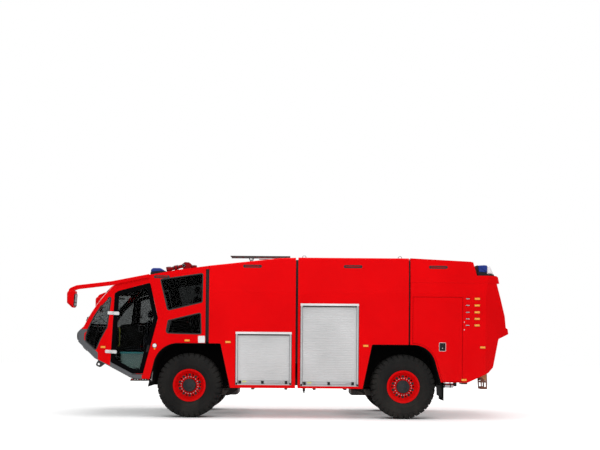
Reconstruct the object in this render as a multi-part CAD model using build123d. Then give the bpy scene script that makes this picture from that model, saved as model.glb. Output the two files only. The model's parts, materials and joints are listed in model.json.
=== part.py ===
"""Airport fire truck with four driven wheels, in millimetres.

The front faces -X, the driver's side is -Y, +Z is up and Z = 0 is the ground.
X = 0 lies midway between the mirror heads and the ledge at the rear.
Stations F(d) are d behind the front axle, R(d) are d behind the rear axle.
"""
from build123d import *
import math
import os

# Wheels and axles
FRONT_AXLE_X = -2088.0
WHEELBASE = 4500.0
TRACK = 2370.0
TYRE_RADIUS = 680.0
TYRE_WIDTH = 590.0
TREAD_DEPTH = 28.0
LUGS = 34
LUG_SHARE = 0.6
LUG_SLANT = 14.0
RIM_RADIUS = 345.0
RIM_WIDTH = 480.0
KINGPIN_INSET = 170.0
KINGPIN_RADIUS = 28.0
SPINDLE_RADIUS = 60.0
AXLE_TUBE_RADIUS = 80.0
RUNNING_FIT = 0.05

# Chassis
RAIL_HALF_SPREAD = 400.0
RAIL_WIDTH = 80.0
RAIL_TOP_Z = 1130.0
RAIL_HEIGHT = 250.0
LEAF_WIDTH = 80.0
LEAF_HALF_SPAN = 640.0
LEAF_THICKNESS = 36.0
TUNNEL_HALF_WIDTH = 480.0

# Body modules
HALF_WIDTH = 1500.0
ROOF_LEAN = 60.0
SIDE_BREAK_Z = 2650.0
WELL_DEPTH = 920.0
WELL_SKIN = 9.0
BODY_TOP_Z = 3385.0
SILL_Z = 636.0
REAR_SKIRT_Z = 785.0
ARCH_TOP_Z = 1566.0
ROOF_EDGE_RADIUS = 45.0
LOCKER_DEPTH = 620.0
FRONT_BODY_START = 410.0
FRONT_BODY_END = 2226.0
MID_BODY_START = 2275.0
MID_BODY_END = 98.0
REAR_BODY_START = 131.0
DECK_DROP = 355.0
TAIL_NARROWING = 270.0
SEAL_RECESS = 32.0
SEAL_WIDTH = 60.0
LAMP_POCKET_DEPTH = 30.0

# Cab
CAB_REAR = 335.0
CAB_WALL = 50.0
CAB_UNDERSIDE_Z = 812.0
CAB_FLOOR_Z = 985.0
FRONT_CURVE_RADIUS = 4680.0
NOSE_CORNER = -2298.0
NOSE_NARROWING = 323.0
PILLAR = 75.0
ROOF_EDGE = 95.0
DOOR_GAP = 8.0
DOOR_FRAME = 85.0
GLASS_THICKNESS = 6.0
GLASS_INSET = 8.0
BUMPER_TOP_Z = 1845.0
BUMPER_DEPTH = 110.0
BUMPER_END = -1930.0
HEADLAMP_INSET = 550.0
HEADLAMP_Z = 1700.0
HEADLAMP_RADIUS = 92.0
HEADLAMP_DEPTH = 60.0
SILL_START = -1655.0
SILL_END = -990.0
SEAT_INSET = 860.0
HINGE_STANDOFF = 20.0
HINGE_PIN_RADIUS = 7.0
HINGE_HEIGHT = 70.0

# Shutters and flaps
SHUTTER_FRAME = 45.0
SHUTTER_FRAME_DEPTH = 70.0
CURTAIN_THICKNESS = 14.0
SLAT_PITCH = 36.0
SLAT_GROOVE = 4.0
CURTAIN_RECESS = 24.0
BOTTOM_RAIL_HEIGHT = 70.0
BOTTOM_RAIL_DEPTH = 34.0
FLAP_THICKNESS = 40.0
FLAP_GAP = 6.0
FLAP_TOP_Z = 2573.0
FLAP_LIP = 55.0
LATCH_DEPTH = 24.0

# Roof monitor
MONITOR_X = -230.0
MONITOR_PIVOT_Z = 3305.0
MONITOR_PIPE_RADIUS = 40.0
MONITOR_DROOP = 14.0
MONITOR_REACH = 395.0

# Roof ladder
LADDER_LIFT = 55.0
LADDER_INSET = 420.0
LADDER_SPREAD = 320.0

# Clearances
SEAM = 0.3
SLIDE_GAP = 6.0

# Sizes that follow from the others
ROOF_HALF_WIDTH = HALF_WIDTH - ROOF_LEAN
CAB_SKIN_TOP_HALF_WIDTH = HALF_WIDTH - ROOF_LEAN
REAR_AXLE_X = FRONT_AXLE_X + WHEELBASE
WHEEL_Y = TRACK / 2
KINGPIN_Y = WHEEL_Y - KINGPIN_INSET
AXLE_Z = TYRE_RADIUS
GUARD_INNER_Y = WHEEL_Y - TYRE_WIDTH / 2 - 70
BEYOND = 6000.0


def F(distance):
    """Station behind the front axle."""
    return FRONT_AXLE_X + distance


def R(distance):
    """Station behind the rear axle."""
    return REAR_AXLE_X + distance


def N(distance):
    """Station behind the middle of the nose, whose curve ends where it meets the sides."""
    bow = FRONT_CURVE_RADIUS - math.sqrt(FRONT_CURVE_RADIUS ** 2 - HALF_WIDTH ** 2)
    return F(NOSE_CORNER) - bow + distance


# Arch outlines as rows of station, height, corner radius
FRONT_ARCH = [(F(-922), 400, 0), (F(-647), ARCH_TOP_Z, 520), (F(655), ARCH_TOP_Z, 30), (F(915), 400, 0)]
REAR_ARCH = [(R(-909), 400, 0), (R(-667), ARCH_TOP_Z, 30), (R(561), ARCH_TOP_Z, 480), (R(894), 400, 0)]

# Lockers as rows of name, body, front station, rear station, sill height, head height
LOCKERS = [
    ("front", F(975), F(2144), 700.0, 1811.0),
    ("mid", F(2332), R(-951), 683.0, 2414.0),
]

# Cab openings as rows of station, height, corner radius
DOOR = [
    (F(-1577), 2599, 25), (F(-1500), 2652, 30), (F(-831), 2831, 40), (F(-662), 2085, 50),
    (F(-965), 920, 25), (F(-1191), 918, 50), (F(-1652), 1157, 25),
]
QUARTER_WINDOW = [
    (F(-1652), 2545, 20), (F(-1735), 1880, 120), (F(-1885), 1625, 60), (F(-1975), 1413, 20),
    (F(-2200), 1597, 40), (F(-2200), 1695, 60), (F(-2145), 1852, 0), (F(-2020), 2098, 0), (F(-1865), 2325, 0),
]
UPPER_WINDOW = [(F(-609), 2894, 20), (F(265), 3025, 20), (F(257), 2434, 25), (F(-456), 2258, 40)]
LOWER_WINDOW = [(F(-443), 2032, 25), (F(226), 2197, 25), (F(240), 1763, 25), (F(-487), 1780, 45)]

# Cab roof line as rows of station and height, from the rear to beyond the nose
CAB_ROOF = [(F(409), 3198), (F(-240), 3108), (F(-940), 2980), (F(-1530), 2864), (F(-2700), 2644)]
CAB_OVERHANG_Z = 3125.0

DECK_Z = BODY_TOP_Z - DECK_DROP
CAP_SEAM_Z = DECK_Z - 160.0
# Rear module outline as rows of station, height, corner radius
REAR_OUTLINE = [
    (R(REAR_BODY_START), REAR_SKIRT_Z, 0), (R(REAR_BODY_START), BODY_TOP_Z, 0), (R(1395), BODY_TOP_Z - 62, 0),
    (R(1449), BODY_TOP_Z - 77, 0), (R(1525), DECK_Z - 2, 0), (R(1944), DECK_Z, 30), (R(1985), DECK_Z - 26, 0),
    (R(2017), CAP_SEAM_Z, 0), (R(1958), CAP_SEAM_Z - 2, 0), (R(2051), 2552, 0), (R(2152), 2180, 0),
    (R(2178), 1938, 25),
    (R(2222), 1913, 10), (R(2240), 1808, 10), (R(2010), 1702, 30), (R(1886), 1102, 60),
    (R(1775), 987, 60), (R(1345), REAR_SKIRT_Z, 0),
]
CORNER_FOLD = 1708.0
TAIL_HALF_WIDTH = HALF_WIDTH - TAIL_NARROWING
TAIL_END = 2240.0
ENGINE_BAY = (R(200), R(1600), 1620.0, 2800.0)


def outline(rows):
    """Closed outline through rows of two coordinates and a corner radius."""
    sketch = Polygon(*[(a, b) for a, b, _ in rows], align=None)
    for a, b, radius in rows:
        if radius > 0:
            corner = sketch.vertices().sort_by_distance((a, b, 0))[0]
            sketch = fillet(corner, radius)
    return sketch


def side(sketch, y_from, y_to):
    """Solid of an outline drawn in X and Z, between two widths."""
    return extrude(Plane.XZ.offset(-y_from) * sketch, amount=y_to - y_from, dir=(0, 1, 0))


def plan(sketch, z_from, z_to):
    """Solid of an outline drawn in X and Y, between two heights."""
    return extrude(Pos(0, 0, z_from) * sketch, amount=z_to - z_from, dir=(0, 0, 1))


def section(sketch, x_from, x_to):
    """Solid of an outline drawn in Y and Z, between two stations."""
    return extrude(Plane.YZ.offset(x_from) * sketch, amount=x_to - x_from, dir=(1, 0, 0))


def block(x_from, x_to, y_from, y_to, z_from, z_to):
    """Upright box between two corners."""
    size = Box(abs(x_to - x_from), abs(y_to - y_from), abs(z_to - z_from))
    return Pos((x_from + x_to) / 2, (y_from + y_to) / 2, (z_from + z_to) / 2) * size


def rod(start, end, radius):
    """Round bar between two points."""
    run = Vector(*end) - Vector(*start)
    place = Plane(origin=start, z_dir=run)
    return place * Cylinder(radius, run.length, align=(Align.CENTER, Align.CENTER, Align.MIN))


def flip(shape):
    """The same piece on the other side of the truck."""
    return mirror(shape, about=Plane.XZ)


def pair(shape):
    """A piece and its mirror image as one set of separate solids."""
    return Compound(children=[*separate(shape), *separate(flip(shape))])


def separate(shape):
    """The solids of a shape, as a list."""
    return list(shape.solids())


def grown(sketch, amount):
    """An outline moved outwards by an amount, with sharp corners kept."""
    return offset(sketch, amount=amount, kind=Kind.INTERSECTION)


# Cab form


def front_profile():
    """Profile of the cab's nose, underside and windscreen on the centre line."""
    screen_foot = (N(109), BUMPER_TOP_Z + 62)
    screen_head = (N(663), 2745)
    rear, start = N(FRONT_CURVE_RADIUS), (N(1145), CAB_UNDERSIDE_Z)
    lines = Polyline(
        start, (N(1098), CAB_UNDERSIDE_Z), (N(346), 1225), (N(0), 1577), (N(0), BUMPER_TOP_Z - 45),
        (N(45), BUMPER_TOP_Z), screen_foot,
    )
    screen = ThreePointArc(screen_foot, (N(326), 2308), screen_head)
    back = Polyline(screen_head, (N(1295), 3330), (rear, 3330), (rear, CAB_UNDERSIDE_Z), start)
    return make_face([*lines.edges(), *screen.edges(), *back.edges()])


def nose_turned(inset):
    """The nose profile turned about the far vertical axis that gives the front its curve in plan."""
    profile = front_profile()
    if inset:
        profile = grown(profile, -inset)
    axis_x = N(FRONT_CURVE_RADIUS)
    placed = Plane.XZ * (Pos(-axis_x, 0) * profile)
    return Pos(axis_x, 0, 0) * revolve(placed, axis=Axis.Z, revolution_arc=360)


def cab_form(front=0.0, sides=0.0, top=0.0, nose=True):
    """Outer form of the cab, pulled in at the front and underside, the sides, and the roof and rear."""
    roof_rows = [(x, z, 0) for x, z in CAB_ROOF]
    envelope = outline(
        [(F(CAB_REAR), 300, 0), (F(CAB_REAR), CAB_OVERHANG_Z, 0), (F(409), CAB_OVERHANG_Z, 0)]
        + roof_rows + [(F(-2700), 300, 0)]
    )
    taper = outline([
        (F(600), -HALF_WIDTH, 0), (F(600), HALF_WIDTH, 0), (F(-1660), HALF_WIDTH, 0),
        (F(-2700), HALF_WIDTH - NOSE_NARROWING, 0), (F(-2700), NOSE_NARROWING - HALF_WIDTH, 0),
        (F(-1660), -HALF_WIDTH, 0),
    ])
    lean = (HALF_WIDTH - CAB_SKIN_TOP_HALF_WIDTH) / 2500.0
    low_half, high_half = HALF_WIDTH + lean * 400.0, CAB_SKIN_TOP_HALF_WIDTH - lean * 200.0
    walls = outline([(-low_half, 300, 0), (low_half, 300, 0), (high_half, 3400, 0), (-high_half, 3400, 0)])
    if top:
        envelope = grown(envelope, -top)
    if sides:
        taper = grown(taper, -sides)
        walls = grown(walls, -sides)
    form = side(envelope, -BEYOND, BEYOND) & plan(taper, 300, 3500)
    form = form & section(walls, F(-2800), F(700))
    return form & nose_turned(front) if nose else form


def roof_zone(drop):
    """Everything above a line that lies a drop below the cab's roof line."""
    rows = [(x, z - drop, 0) for x, z in CAB_ROOF]
    rows[0] = (F(700), CAB_ROOF[0][1] - drop, 0)
    sketch = outline(rows + [(F(-2700), 3600, 0), (F(700), 3600, 0)])
    return side(sketch, -BEYOND, BEYOND)


def arch_void(rows, grow=0.0):
    """Wheel arch right through the body, grown by an amount."""
    sketch = outline(rows)
    if grow:
        sketch = grown(sketch, grow)
    return side(sketch, -BEYOND, BEYOND)


def arch_front_x(height):
    """Station of the front arch's leading edge at a height."""
    low, high = FRONT_ARCH[0], FRONT_ARCH[1]
    return low[0] + (high[0] - low[0]) * (height - low[1]) / (high[1] - low[1])


WHOLE_CAB = cab_form()
CAB_ROOM = cab_form(CAB_WALL, CAB_WALL, CAB_WALL)
SIDE_CORE = cab_form(sides=CAB_WALL)


def cab_roof():
    """Roof panel with its turned-down edges."""
    return (WHOLE_CAB - CAB_ROOM) & roof_zone(ROOF_EDGE)


def cab_side():
    """Left side of the cab: skirt, pillars and window surrounds in one pressing."""
    wall = (WHOLE_CAB - SIDE_CORE) & block(F(-2800), F(CAB_REAR), -BEYOND, 0, 300, 3500)
    wall = wall - roof_zone(ROOF_EDGE + SEAM) - (WHOLE_CAB - nose_turned(PILLAR + SEAM) - below_bumper_top())
    wall = wall - bumper_region(SEAM) - sill_region(SEAM) - arch_void(FRONT_ARCH)
    for rows in (DOOR, QUARTER_WINDOW, UPPER_WINDOW, LOWER_WINDOW):
        wall = wall - side(outline(rows), -BEYOND, 0)
    return wall


def below_bumper_top():
    """Everything lower than the bumper's top, where the bumper takes the place of the front panel."""
    return block(F(-3000), F(1000), -BEYOND, BEYOND, 0, BUMPER_TOP_Z)


def bumper_region(grow=0.0):
    """Outer band of the nose below the bumper's top."""
    band = WHOLE_CAB - nose_turned(BUMPER_DEPTH + grow)
    return band & block(F(-3000), F(BUMPER_END) + grow, -BEYOND, BEYOND, 0, BUMPER_TOP_Z + grow)


def sill_region(grow=0.0):
    """Band under the cab door, in the thickness of the side wall."""
    band = (WHOLE_CAB - SIDE_CORE) - nose_turned(BUMPER_DEPTH - 15 + grow)
    return band & block(F(SILL_START) - grow, F(SILL_END) + grow, -BEYOND, BEYOND, 0, 1400)


def door_sills():
    """Grey sills under the cab doors, both sides."""
    door = side(grown(outline(DOOR), SEAM), -BEYOND, BEYOND)
    return sill_region() - door


def front_bumper():
    """Wrap-round bumper with pockets for the headlamps."""
    pocket = headlamp_pocket(SEAM)
    return bumper_region() - pocket - flip(pocket)


def headlamp_pocket(grow=0.0):
    """Left headlamp's round pocket, bored straight back into the bumper."""
    y = HALF_WIDTH - HEADLAMP_INSET
    set_back = FRONT_CURVE_RADIUS - math.sqrt(FRONT_CURVE_RADIUS ** 2 - y ** 2)
    foot = N(set_back + HEADLAMP_DEPTH + grow)
    return rod((N(-100), -y, HEADLAMP_Z), (foot, -y, HEADLAMP_Z), HEADLAMP_RADIUS + grow)


def headlamps():
    """Round headlamp units seated in the bumper's pockets."""
    return pair(headlamp_pocket() & bumper_region())


def screen_opening(shrink=0.0):
    """Region of the windscreen between the pillars, header and cowl."""
    span = cab_form(sides=PILLAR + 15 + shrink, nose=False) - roof_zone(ROOF_EDGE + 55 + shrink)
    return span & block(F(-3000), F(-1700), -BEYOND, BEYOND, 1935 + shrink, 3400)


def cab_front():
    """Windscreen surround: both front pillars, header and cowl."""
    band = (WHOLE_CAB - CAB_ROOM) - nose_turned(PILLAR)
    band = band - roof_zone(ROOF_EDGE + SEAM)
    return band - block(F(-3000), F(1000), -BEYOND, BEYOND, 0, BUMPER_TOP_Z + SEAM) - screen_opening()


def pane_shell():
    """Thin skin just inside the cab's outer form, from which every pane is cut."""
    deep = GLASS_INSET + GLASS_THICKNESS
    return cab_form(GLASS_INSET, GLASS_INSET, GLASS_INSET) - cab_form(deep, deep, deep)


PANES = pane_shell()


def pane(rows, y_from, y_to, frame=0.0):
    """Pane that fills an opening given in side view."""
    sketch = grown(outline(rows), -SEAM - frame)
    return PANES & side(sketch, y_from, y_to)


def windscreen():
    """One large curved pane across the front."""
    return (PANES & screen_opening(SEAM)) - nose_turned(GLASS_INSET + GLASS_THICKNESS)


def cab_windows():
    """Quarter window and two rear side windows on each side."""
    found = []
    for rows in (QUARTER_WINDOW, UPPER_WINDOW, LOWER_WINDOW):
        for y_from, y_to in ((-BEYOND, -100), (100, BEYOND)):
            found += separate(pane(rows, y_from, y_to) - bumper_region(SEAM))
    return Compound(children=found)


def cab_floor():
    """Floor pan with its sloping foot board and the housing over the wheels."""
    inner = cab_form(sides=CAB_WALL + SEAM, top=CAB_WALL + SEAM)
    pan = outline([
        (F(-820), 300, 0), (F(-820), CAB_FLOOR_Z, 0), (F(-1500), CAB_FLOOR_Z, 0),
        (F(BUMPER_END) + SEAM, 1275, 0), (F(BUMPER_END) + SEAM, 300, 0),
    ])
    cover = grown(outline(FRONT_ARCH), CAB_WALL)
    floor = inner & side(pan, -BEYOND, BEYOND)
    housing = inner & side(cover, -BEYOND, BEYOND) & block(F(-880), F(600), -BEYOND, BEYOND, 300, 1800)
    return floor + housing - arch_void(FRONT_ARCH)


def cab_rear_wall():
    """Flat wall behind the crew seats."""
    slab = cab_form(sides=CAB_WALL + SEAM)
    slab = slab & block(F(CAB_REAR) - CAB_WALL, F(CAB_REAR), -BEYOND, BEYOND, ARCH_TOP_Z, 3500)
    return slab - roof_zone(ROOF_EDGE + SEAM)


# Cab doors


def door_axis():
    """Hinge line of the left door: a point at mid height and its unit direction."""
    top, foot = DOOR[0], DOOR[6]
    lean = (HALF_WIDTH - CAB_SKIN_TOP_HALF_WIDTH) / 2500.0
    height = 1780.0
    rise = (height - foot[1]) / (top[1] - foot[1])
    x = foot[0] + (top[0] - foot[0]) * rise - 8.0
    y = -(HALF_WIDTH - lean * (height - 700.0)) - HINGE_STANDOFF
    direction = Vector((top[0] - foot[0]) / (top[1] - foot[1]), lean, 1).normalized()
    return Vector(x, y, height), direction


def door_panel():
    """Left door: a black frame round one large pane."""
    wall = (WHOLE_CAB - SIDE_CORE) & block(F(-1800), F(-500), -BEYOND, 0, 300, 3500)
    wall = wall & side(grown(outline(DOOR), -DOOR_GAP), -BEYOND, 0)
    return wall - side(grown(outline(DOOR), -DOOR_GAP - DOOR_FRAME), -BEYOND, 0)


def hinge_place(height):
    """Local frame of a hinge: Z along the hinge line, X towards the rear, Y into the cab."""
    point, direction = door_axis()
    centre = point + direction * ((height - point.Z) / direction.Z)
    return Plane(origin=centre, x_dir=(1, 0, -direction.X / direction.Z), z_dir=direction)


def hinge_leaf(place, length, towards):
    """Plate that lies on the skin and reaches the pin, to the front (-1) or rear (+1)."""
    skin = HINGE_STANDOFF
    plate = Pos(towards * (length / 2 + 12), skin - SEAM - 7, 0) * Box(length - 24, 14, HINGE_HEIGHT)
    plate = fillet(plate.edges().filter_by(Axis.Y), 20)
    web = Pos(towards * 18, skin / 2 - SEAM, 0) * Box(36, skin, HINGE_HEIGHT * 0.98)
    return place * (plate + web + Cylinder(15, HINGE_HEIGHT * 0.98))


HINGE_HEIGHTS = (2184.0, 1376.0)
HINGE_LENGTHS = (112.0, 132.0)


def hinge_brackets():
    """Front leaves of the door hinges with their pins."""
    leaves = []
    for height in HINGE_HEIGHTS:
        place = hinge_place(height)
        leaf = hinge_leaf(place, HINGE_LENGTHS[0], -1)
        leaf = leaf - place * Cylinder(17, 24) - place * (Pos(20, 5, 0) * Box(40, 60, 24))
        pin = place * Cylinder(HINGE_PIN_RADIUS, HINGE_HEIGHT * 0.9)
        leaves += separate(leaf + pin)
    return pair(Compound(children=leaves))


def door_hinges():
    """Rear leaves of the left door's hinges, bored for the pins."""
    leaves = []
    for height in HINGE_HEIGHTS:
        place = hinge_place(height)
        leaf = hinge_leaf(place, HINGE_LENGTHS[1], 1)
        for sense in (-1, 1):
            leaf = leaf - place * (Pos(0, 0, sense * 36) * Cylinder(20, 50))
        leaves += separate(leaf - place * Cylinder(HINGE_PIN_RADIUS + RUNNING_FIT, 2 * HINGE_HEIGHT))
    return Compound(children=leaves)


# Cab fittings


def dashboard():
    """Dash panel that closes the nose under the windscreen."""
    shape = outline([
        (F(-2440), 1500, 0), (F(-2440), 1860, 30), (F(-2120), 1900, 40), (F(-1960), 1760, 40),
        (F(-2010), 1450, 30),
    ])
    limit = cab_form(BUMPER_DEPTH + 5, CAB_WALL + 5, CAB_WALL)
    desk = side(shape, -BEYOND, BEYOND) & limit
    legs = side(outline([(F(-2290), 1130, 0), (F(-2290), 1520, 0), (F(-2050), 1520, 0), (F(-1900), 1130, 0)]),
                -200, 200) & limit
    return desk + (legs - cab_floor())


def steering_wheel():
    """Steering wheel with three spokes, boss and column."""
    place = Plane(origin=(F(-1660), SEAT_INSET - HALF_WIDTH, 1830), z_dir=(0.72, 0, 0.69))
    ring = place * Torus(215, 17)
    hub = place * Cylinder(48, 50)
    wheel = ring + hub
    for turn in (90, 210, 330):
        wheel = wheel + place * (Rot(0, 0, turn) * (Pos(115, 0, 0) * Box(210, 34, 14)))
    column = place * (Pos(0, 0, -260) * Cylinder(32, 500))
    return (wheel + column) - dashboard()


# Seats as rows of station of the seat's front, width position, floor height, cushion height
SEAT_Y = HALF_WIDTH - SEAT_INSET
SEATS = [(F(-1500), -SEAT_Y, CAB_FLOOR_Z, 1480.0), (F(-1500), SEAT_Y, CAB_FLOOR_Z, 1480.0),
         (F(-480), -SEAT_Y, ARCH_TOP_Z + CAB_WALL, 2010.0), (F(-480), SEAT_Y, ARCH_TOP_Z + CAB_WALL, 2010.0)]


def seat(front, width_place, floor, cushion_top):
    """Seat with pedestal, cushion, leaning back and head rest."""
    rise = cushion_top
    profile = outline([
        (front + 120, floor + SEAM, 0), (front + 90, rise - 130, 0), (front, rise - 120, 40),
        (front + 10, rise, 45), (front + 400, rise - 35, 30), (front + 490, rise + 570, 20),
        (front + 500, rise + 640, 0),
        (front + 510, rise + 790, 40), (front + 610, rise + 790, 40), (front + 600, rise + 560, 20),
        (front + 530, rise - 150, 30), (front + 460, floor + SEAM, 0),
    ])
    shape = side(profile, width_place - 255, width_place + 255)
    for edge in (-1, 1):
        beside_head = (width_place + edge * 130, width_place + edge * 300)
        shape = shape - block(front - 50, front + 700, *beside_head, rise + 590, rise + 900)
    return shape


def seats():
    """Driver's and three crew seats."""
    return Compound(children=[s for row in SEATS for s in separate(seat(*row))])


# Mirrors, beacons and roof gear


def mirrors():
    """Curved arms along the roof edge, with a hanging mirror head on each."""
    arm = outline([
        (F(-850), 3010, 0), (F(-1640), 2852, 90), (F(-2370), 2762, 110), (F(-2522), 2690, 60),
        (F(-2540), 2560, 0), (F(-2440), 2560, 0), (F(-2430), 2640, 40), (F(-2330), 2678, 60),
        (F(-1650), 2764, 90), (F(-850), 2935, 0),
    ])
    arm_solid = side(arm, -HALF_WIDTH, -CAB_SKIN_TOP_HALF_WIDTH + 8) - WHOLE_CAB
    head = outline([
        (F(-2563), 2600, 60), (F(-2563), 2392, 15), (F(-2450), 2290, 15), (F(-2408), 2300, 10),
        (F(-2380), 2610, 15), (F(-2440), 2655, 30),
    ])
    shell = side(head, -HALF_WIDTH - 60, -HALF_WIDTH + 200)
    return pair(arm_solid + shell)


def roof_top_z(x):
    """Height of the cab's roof line at a station."""
    for (x0, z0), (x1, z1) in zip(CAB_ROOF, CAB_ROOF[1:]):
        if x1 <= x <= x0:
            return z0 + (z1 - z0) * (x - x0) / (x1 - x0)
    return CAB_ROOF[0][1]


def cab_beacons():
    """Low blue beacons on black feet at both edges of the cab roof."""
    x0 = F(-850)
    base = roof_top_z(x0)
    profile = outline([
        (x0, base + 30, 15), (x0 + 5, base + 95, 25), (x0 + 60, base + 122, 20), (x0 + 200, base + 122, 30),
        (x0 + 262, base + 70, 15), (x0 + 340, base + 62, 0), (x0 + 340, base + 20, 0),
        (x0 + 40, base - 40, 0),
    ])
    return pair(side(profile, -HALF_WIDTH + 170, -HALF_WIDTH + 490) - WHOLE_CAB)


def monitor_riser():
    """Flanged riser that carries the roof monitor."""
    x = F(MONITOR_X)
    roof = roof_top_z(x)
    flange = rod((x, 0, roof - 60), (x, 0, roof + 30), 120) - WHOLE_CAB
    return flange + rod((x, 0, roof + 25), (x, 0, roof + 62), 70)


def monitor_swivel():
    """Turning body of the monitor: ring, yoke and valve housing."""
    x = F(MONITOR_X)
    foot = roof_top_z(x) + 62 + SEAM
    body = rod((x, 0, foot), (x, 0, foot + 40), 85)
    housing = outline([
        (x - 70, foot + 30, 0), (x - 110, MONITOR_PIVOT_Z + 20, 20), (x - 40, MONITOR_PIVOT_Z + 78, 20),
        (x + 60, MONITOR_PIVOT_Z + 70, 20), (x + 115, MONITOR_PIVOT_Z + 25, 20), (x + 60, foot + 30, 0),
    ])
    body = body + side(housing, -75, 75)
    pivot_x = x - 60
    slot = block(pivot_x - 120, pivot_x + 62, -49, 49, MONITOR_PIVOT_Z - 70, MONITOR_PIVOT_Z + 120)
    motor = rod((x + 90, 0, MONITOR_PIVOT_Z - 20), (x + 210, 0, MONITOR_PIVOT_Z - 20), 34)
    body = body - slot + motor
    return body + rod((pivot_x, -60, MONITOR_PIVOT_Z), (pivot_x, 60, MONITOR_PIVOT_Z), 14)


def monitor_barrel():
    """Barrel with its collar and flared nozzle, bored for the pivot."""
    pivot_x = F(MONITOR_X) - 60
    slope = math.radians(MONITOR_DROOP)

    def along(distance):
        return (pivot_x - distance * math.cos(slope), 0, MONITOR_PIVOT_Z - distance * math.sin(slope))

    barrel = rod((pivot_x, -43, MONITOR_PIVOT_Z), (pivot_x, 43, MONITOR_PIVOT_Z), 48)
    barrel = barrel + rod(along(0), along(MONITOR_REACH - 60), MONITOR_PIPE_RADIUS)
    barrel = barrel + rod(along(165), along(215), 54)
    tip = Plane(origin=along(MONITOR_REACH - 110), z_dir=Vector(*along(1)) - Vector(*along(0)))
    barrel = barrel + tip * Cone(42, 66, 120, align=(Align.CENTER, Align.CENTER, Align.MIN))
    barrel = barrel - rod(along(90), along(MONITOR_REACH + 60), 30)
    bore = 14 + RUNNING_FIT
    return barrel - rod((pivot_x, -80, MONITOR_PIVOT_Z), (pivot_x, 80, MONITOR_PIVOT_Z), bore)


def roof_ladder():
    """Short ladder stowed on two brackets along the roof edge of the front module."""
    top, x0, x1 = BODY_TOP_Z + LADDER_LIFT, F(830), F(2100)
    outer, inner = LADDER_INSET - HALF_WIDTH, LADDER_INSET - HALF_WIDTH + LADDER_SPREAD
    ladder = None
    for y in (outer, inner):
        rail = block(x0, x1, y - 14, y + 14, top - 30, top + 30)
        ladder = rail if ladder is None else ladder + rail
    for step in range(5):
        x = x0 + 120 + step * 250
        ladder = ladder + rod((x, outer - 5, top), (x, inner + 5, top), 14)
    for x in (F(1260), F(1960)):
        foot = block(x - 22, x + 22, outer - 40, inner + 40, BODY_TOP_Z - 105, top - 28)
        ladder = ladder + (foot - front_body_form())
    return ladder


# Body modules


def module_walls(x_from, x_to):
    """Upright sides that lean in above the break line."""
    rows = [(-HALF_WIDTH, 300, 0), (HALF_WIDTH, 300, 0), (HALF_WIDTH, SIDE_BREAK_Z, 0),
            (ROOF_HALF_WIDTH, BODY_TOP_Z + 15, 0), (-ROOF_HALF_WIDTH, BODY_TOP_Z + 15, 0),
            (-HALF_WIDTH, SIDE_BREAK_Z, 0)]
    return section(outline(rows), x_from, x_to)


def tunnel(x_from, x_to):
    """Space for the chassis rails and the drive line under a module."""
    return block(x_from, x_to, -TUNNEL_HALF_WIDTH, TUNNEL_HALF_WIDTH, 0, RAIL_TOP_Z)


def soften_roof(shape):
    """Rounds the long edges between the roof and the sides."""
    edges = [e for e in shape.edges() if abs((e @ 0.5).Y) > ROOF_HALF_WIDTH - 60
             and (e @ 0.5).Z > (SIDE_BREAK_Z + BODY_TOP_Z) / 2 and abs(e.tangent_at(0.5).X) > 0.9]
    return fillet(edges, ROOF_EDGE_RADIUS)


def front_body_form():
    """Outer form of the front module."""
    rows = [(F(FRONT_BODY_START), SILL_Z, 0), (F(FRONT_BODY_START), BODY_TOP_Z - 183, 0),
            (F(1903), BODY_TOP_Z - 14, 0),
            (F(FRONT_BODY_END), BODY_TOP_Z - 4, 0), (F(FRONT_BODY_END), SILL_Z, 0)]
    return side(outline(rows), -BEYOND, BEYOND) & module_walls(F(FRONT_BODY_START), F(FRONT_BODY_END))


def locker_space(x0, x1, z0, z1):
    """Locker cut from the left side."""
    return block(x0, x1, -BEYOND, -(HALF_WIDTH - LOCKER_DEPTH), z0, z1)


# Recessed side lights as rows of centre station and height
SLOT_LIGHTS = [(F(1312), BODY_TOP_Z - 193), (F(3424), BODY_TOP_Z - 187), (R(715), BODY_TOP_Z - 185)]


def slot_light(x, z, grow=0.0):
    """Long oval light set into the left side of a module."""
    shape = Pos(x, z) * SlotOverall(380 + 2 * grow, 56 + 2 * grow)
    return side(shape, -HALF_WIDTH - 50, -ROOF_HALF_WIDTH + LAMP_POCKET_DEPTH + grow)


def both_cuts(shape, cutter):
    """Cuts the left cutter and its mirror image from a shape."""
    return shape - cutter - flip(cutter)


def front_body():
    """Front module with one locker on each side."""
    body = soften_roof(front_body_form())
    body = body - arch_void(FRONT_ARCH) - tunnel(F(0), F(FRONT_BODY_END) + 10)
    body = both_cuts(body, locker_space(*LOCKERS[0][1:]))
    return both_cuts(body, slot_light(*SLOT_LIGHTS[0], SEAM))


def mid_body():
    """Tank module with one tall locker on each side."""
    rows = [(F(MID_BODY_START), SILL_Z, 0), (F(MID_BODY_START), BODY_TOP_Z, 0),
            (R(MID_BODY_END), BODY_TOP_Z, 0), (R(MID_BODY_END), SILL_Z, 0)]
    body = side(outline(rows), -BEYOND, BEYOND) & module_walls(F(MID_BODY_START), R(MID_BODY_END))
    body = soften_roof(body)
    body = body - arch_void(REAR_ARCH) - tunnel(F(MID_BODY_START) - 10, R(MID_BODY_END) + 10)
    body = both_cuts(body, locker_space(*LOCKERS[1][1:]))
    return both_cuts(body, slot_light(*SLOT_LIGHTS[1], SEAM))


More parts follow.
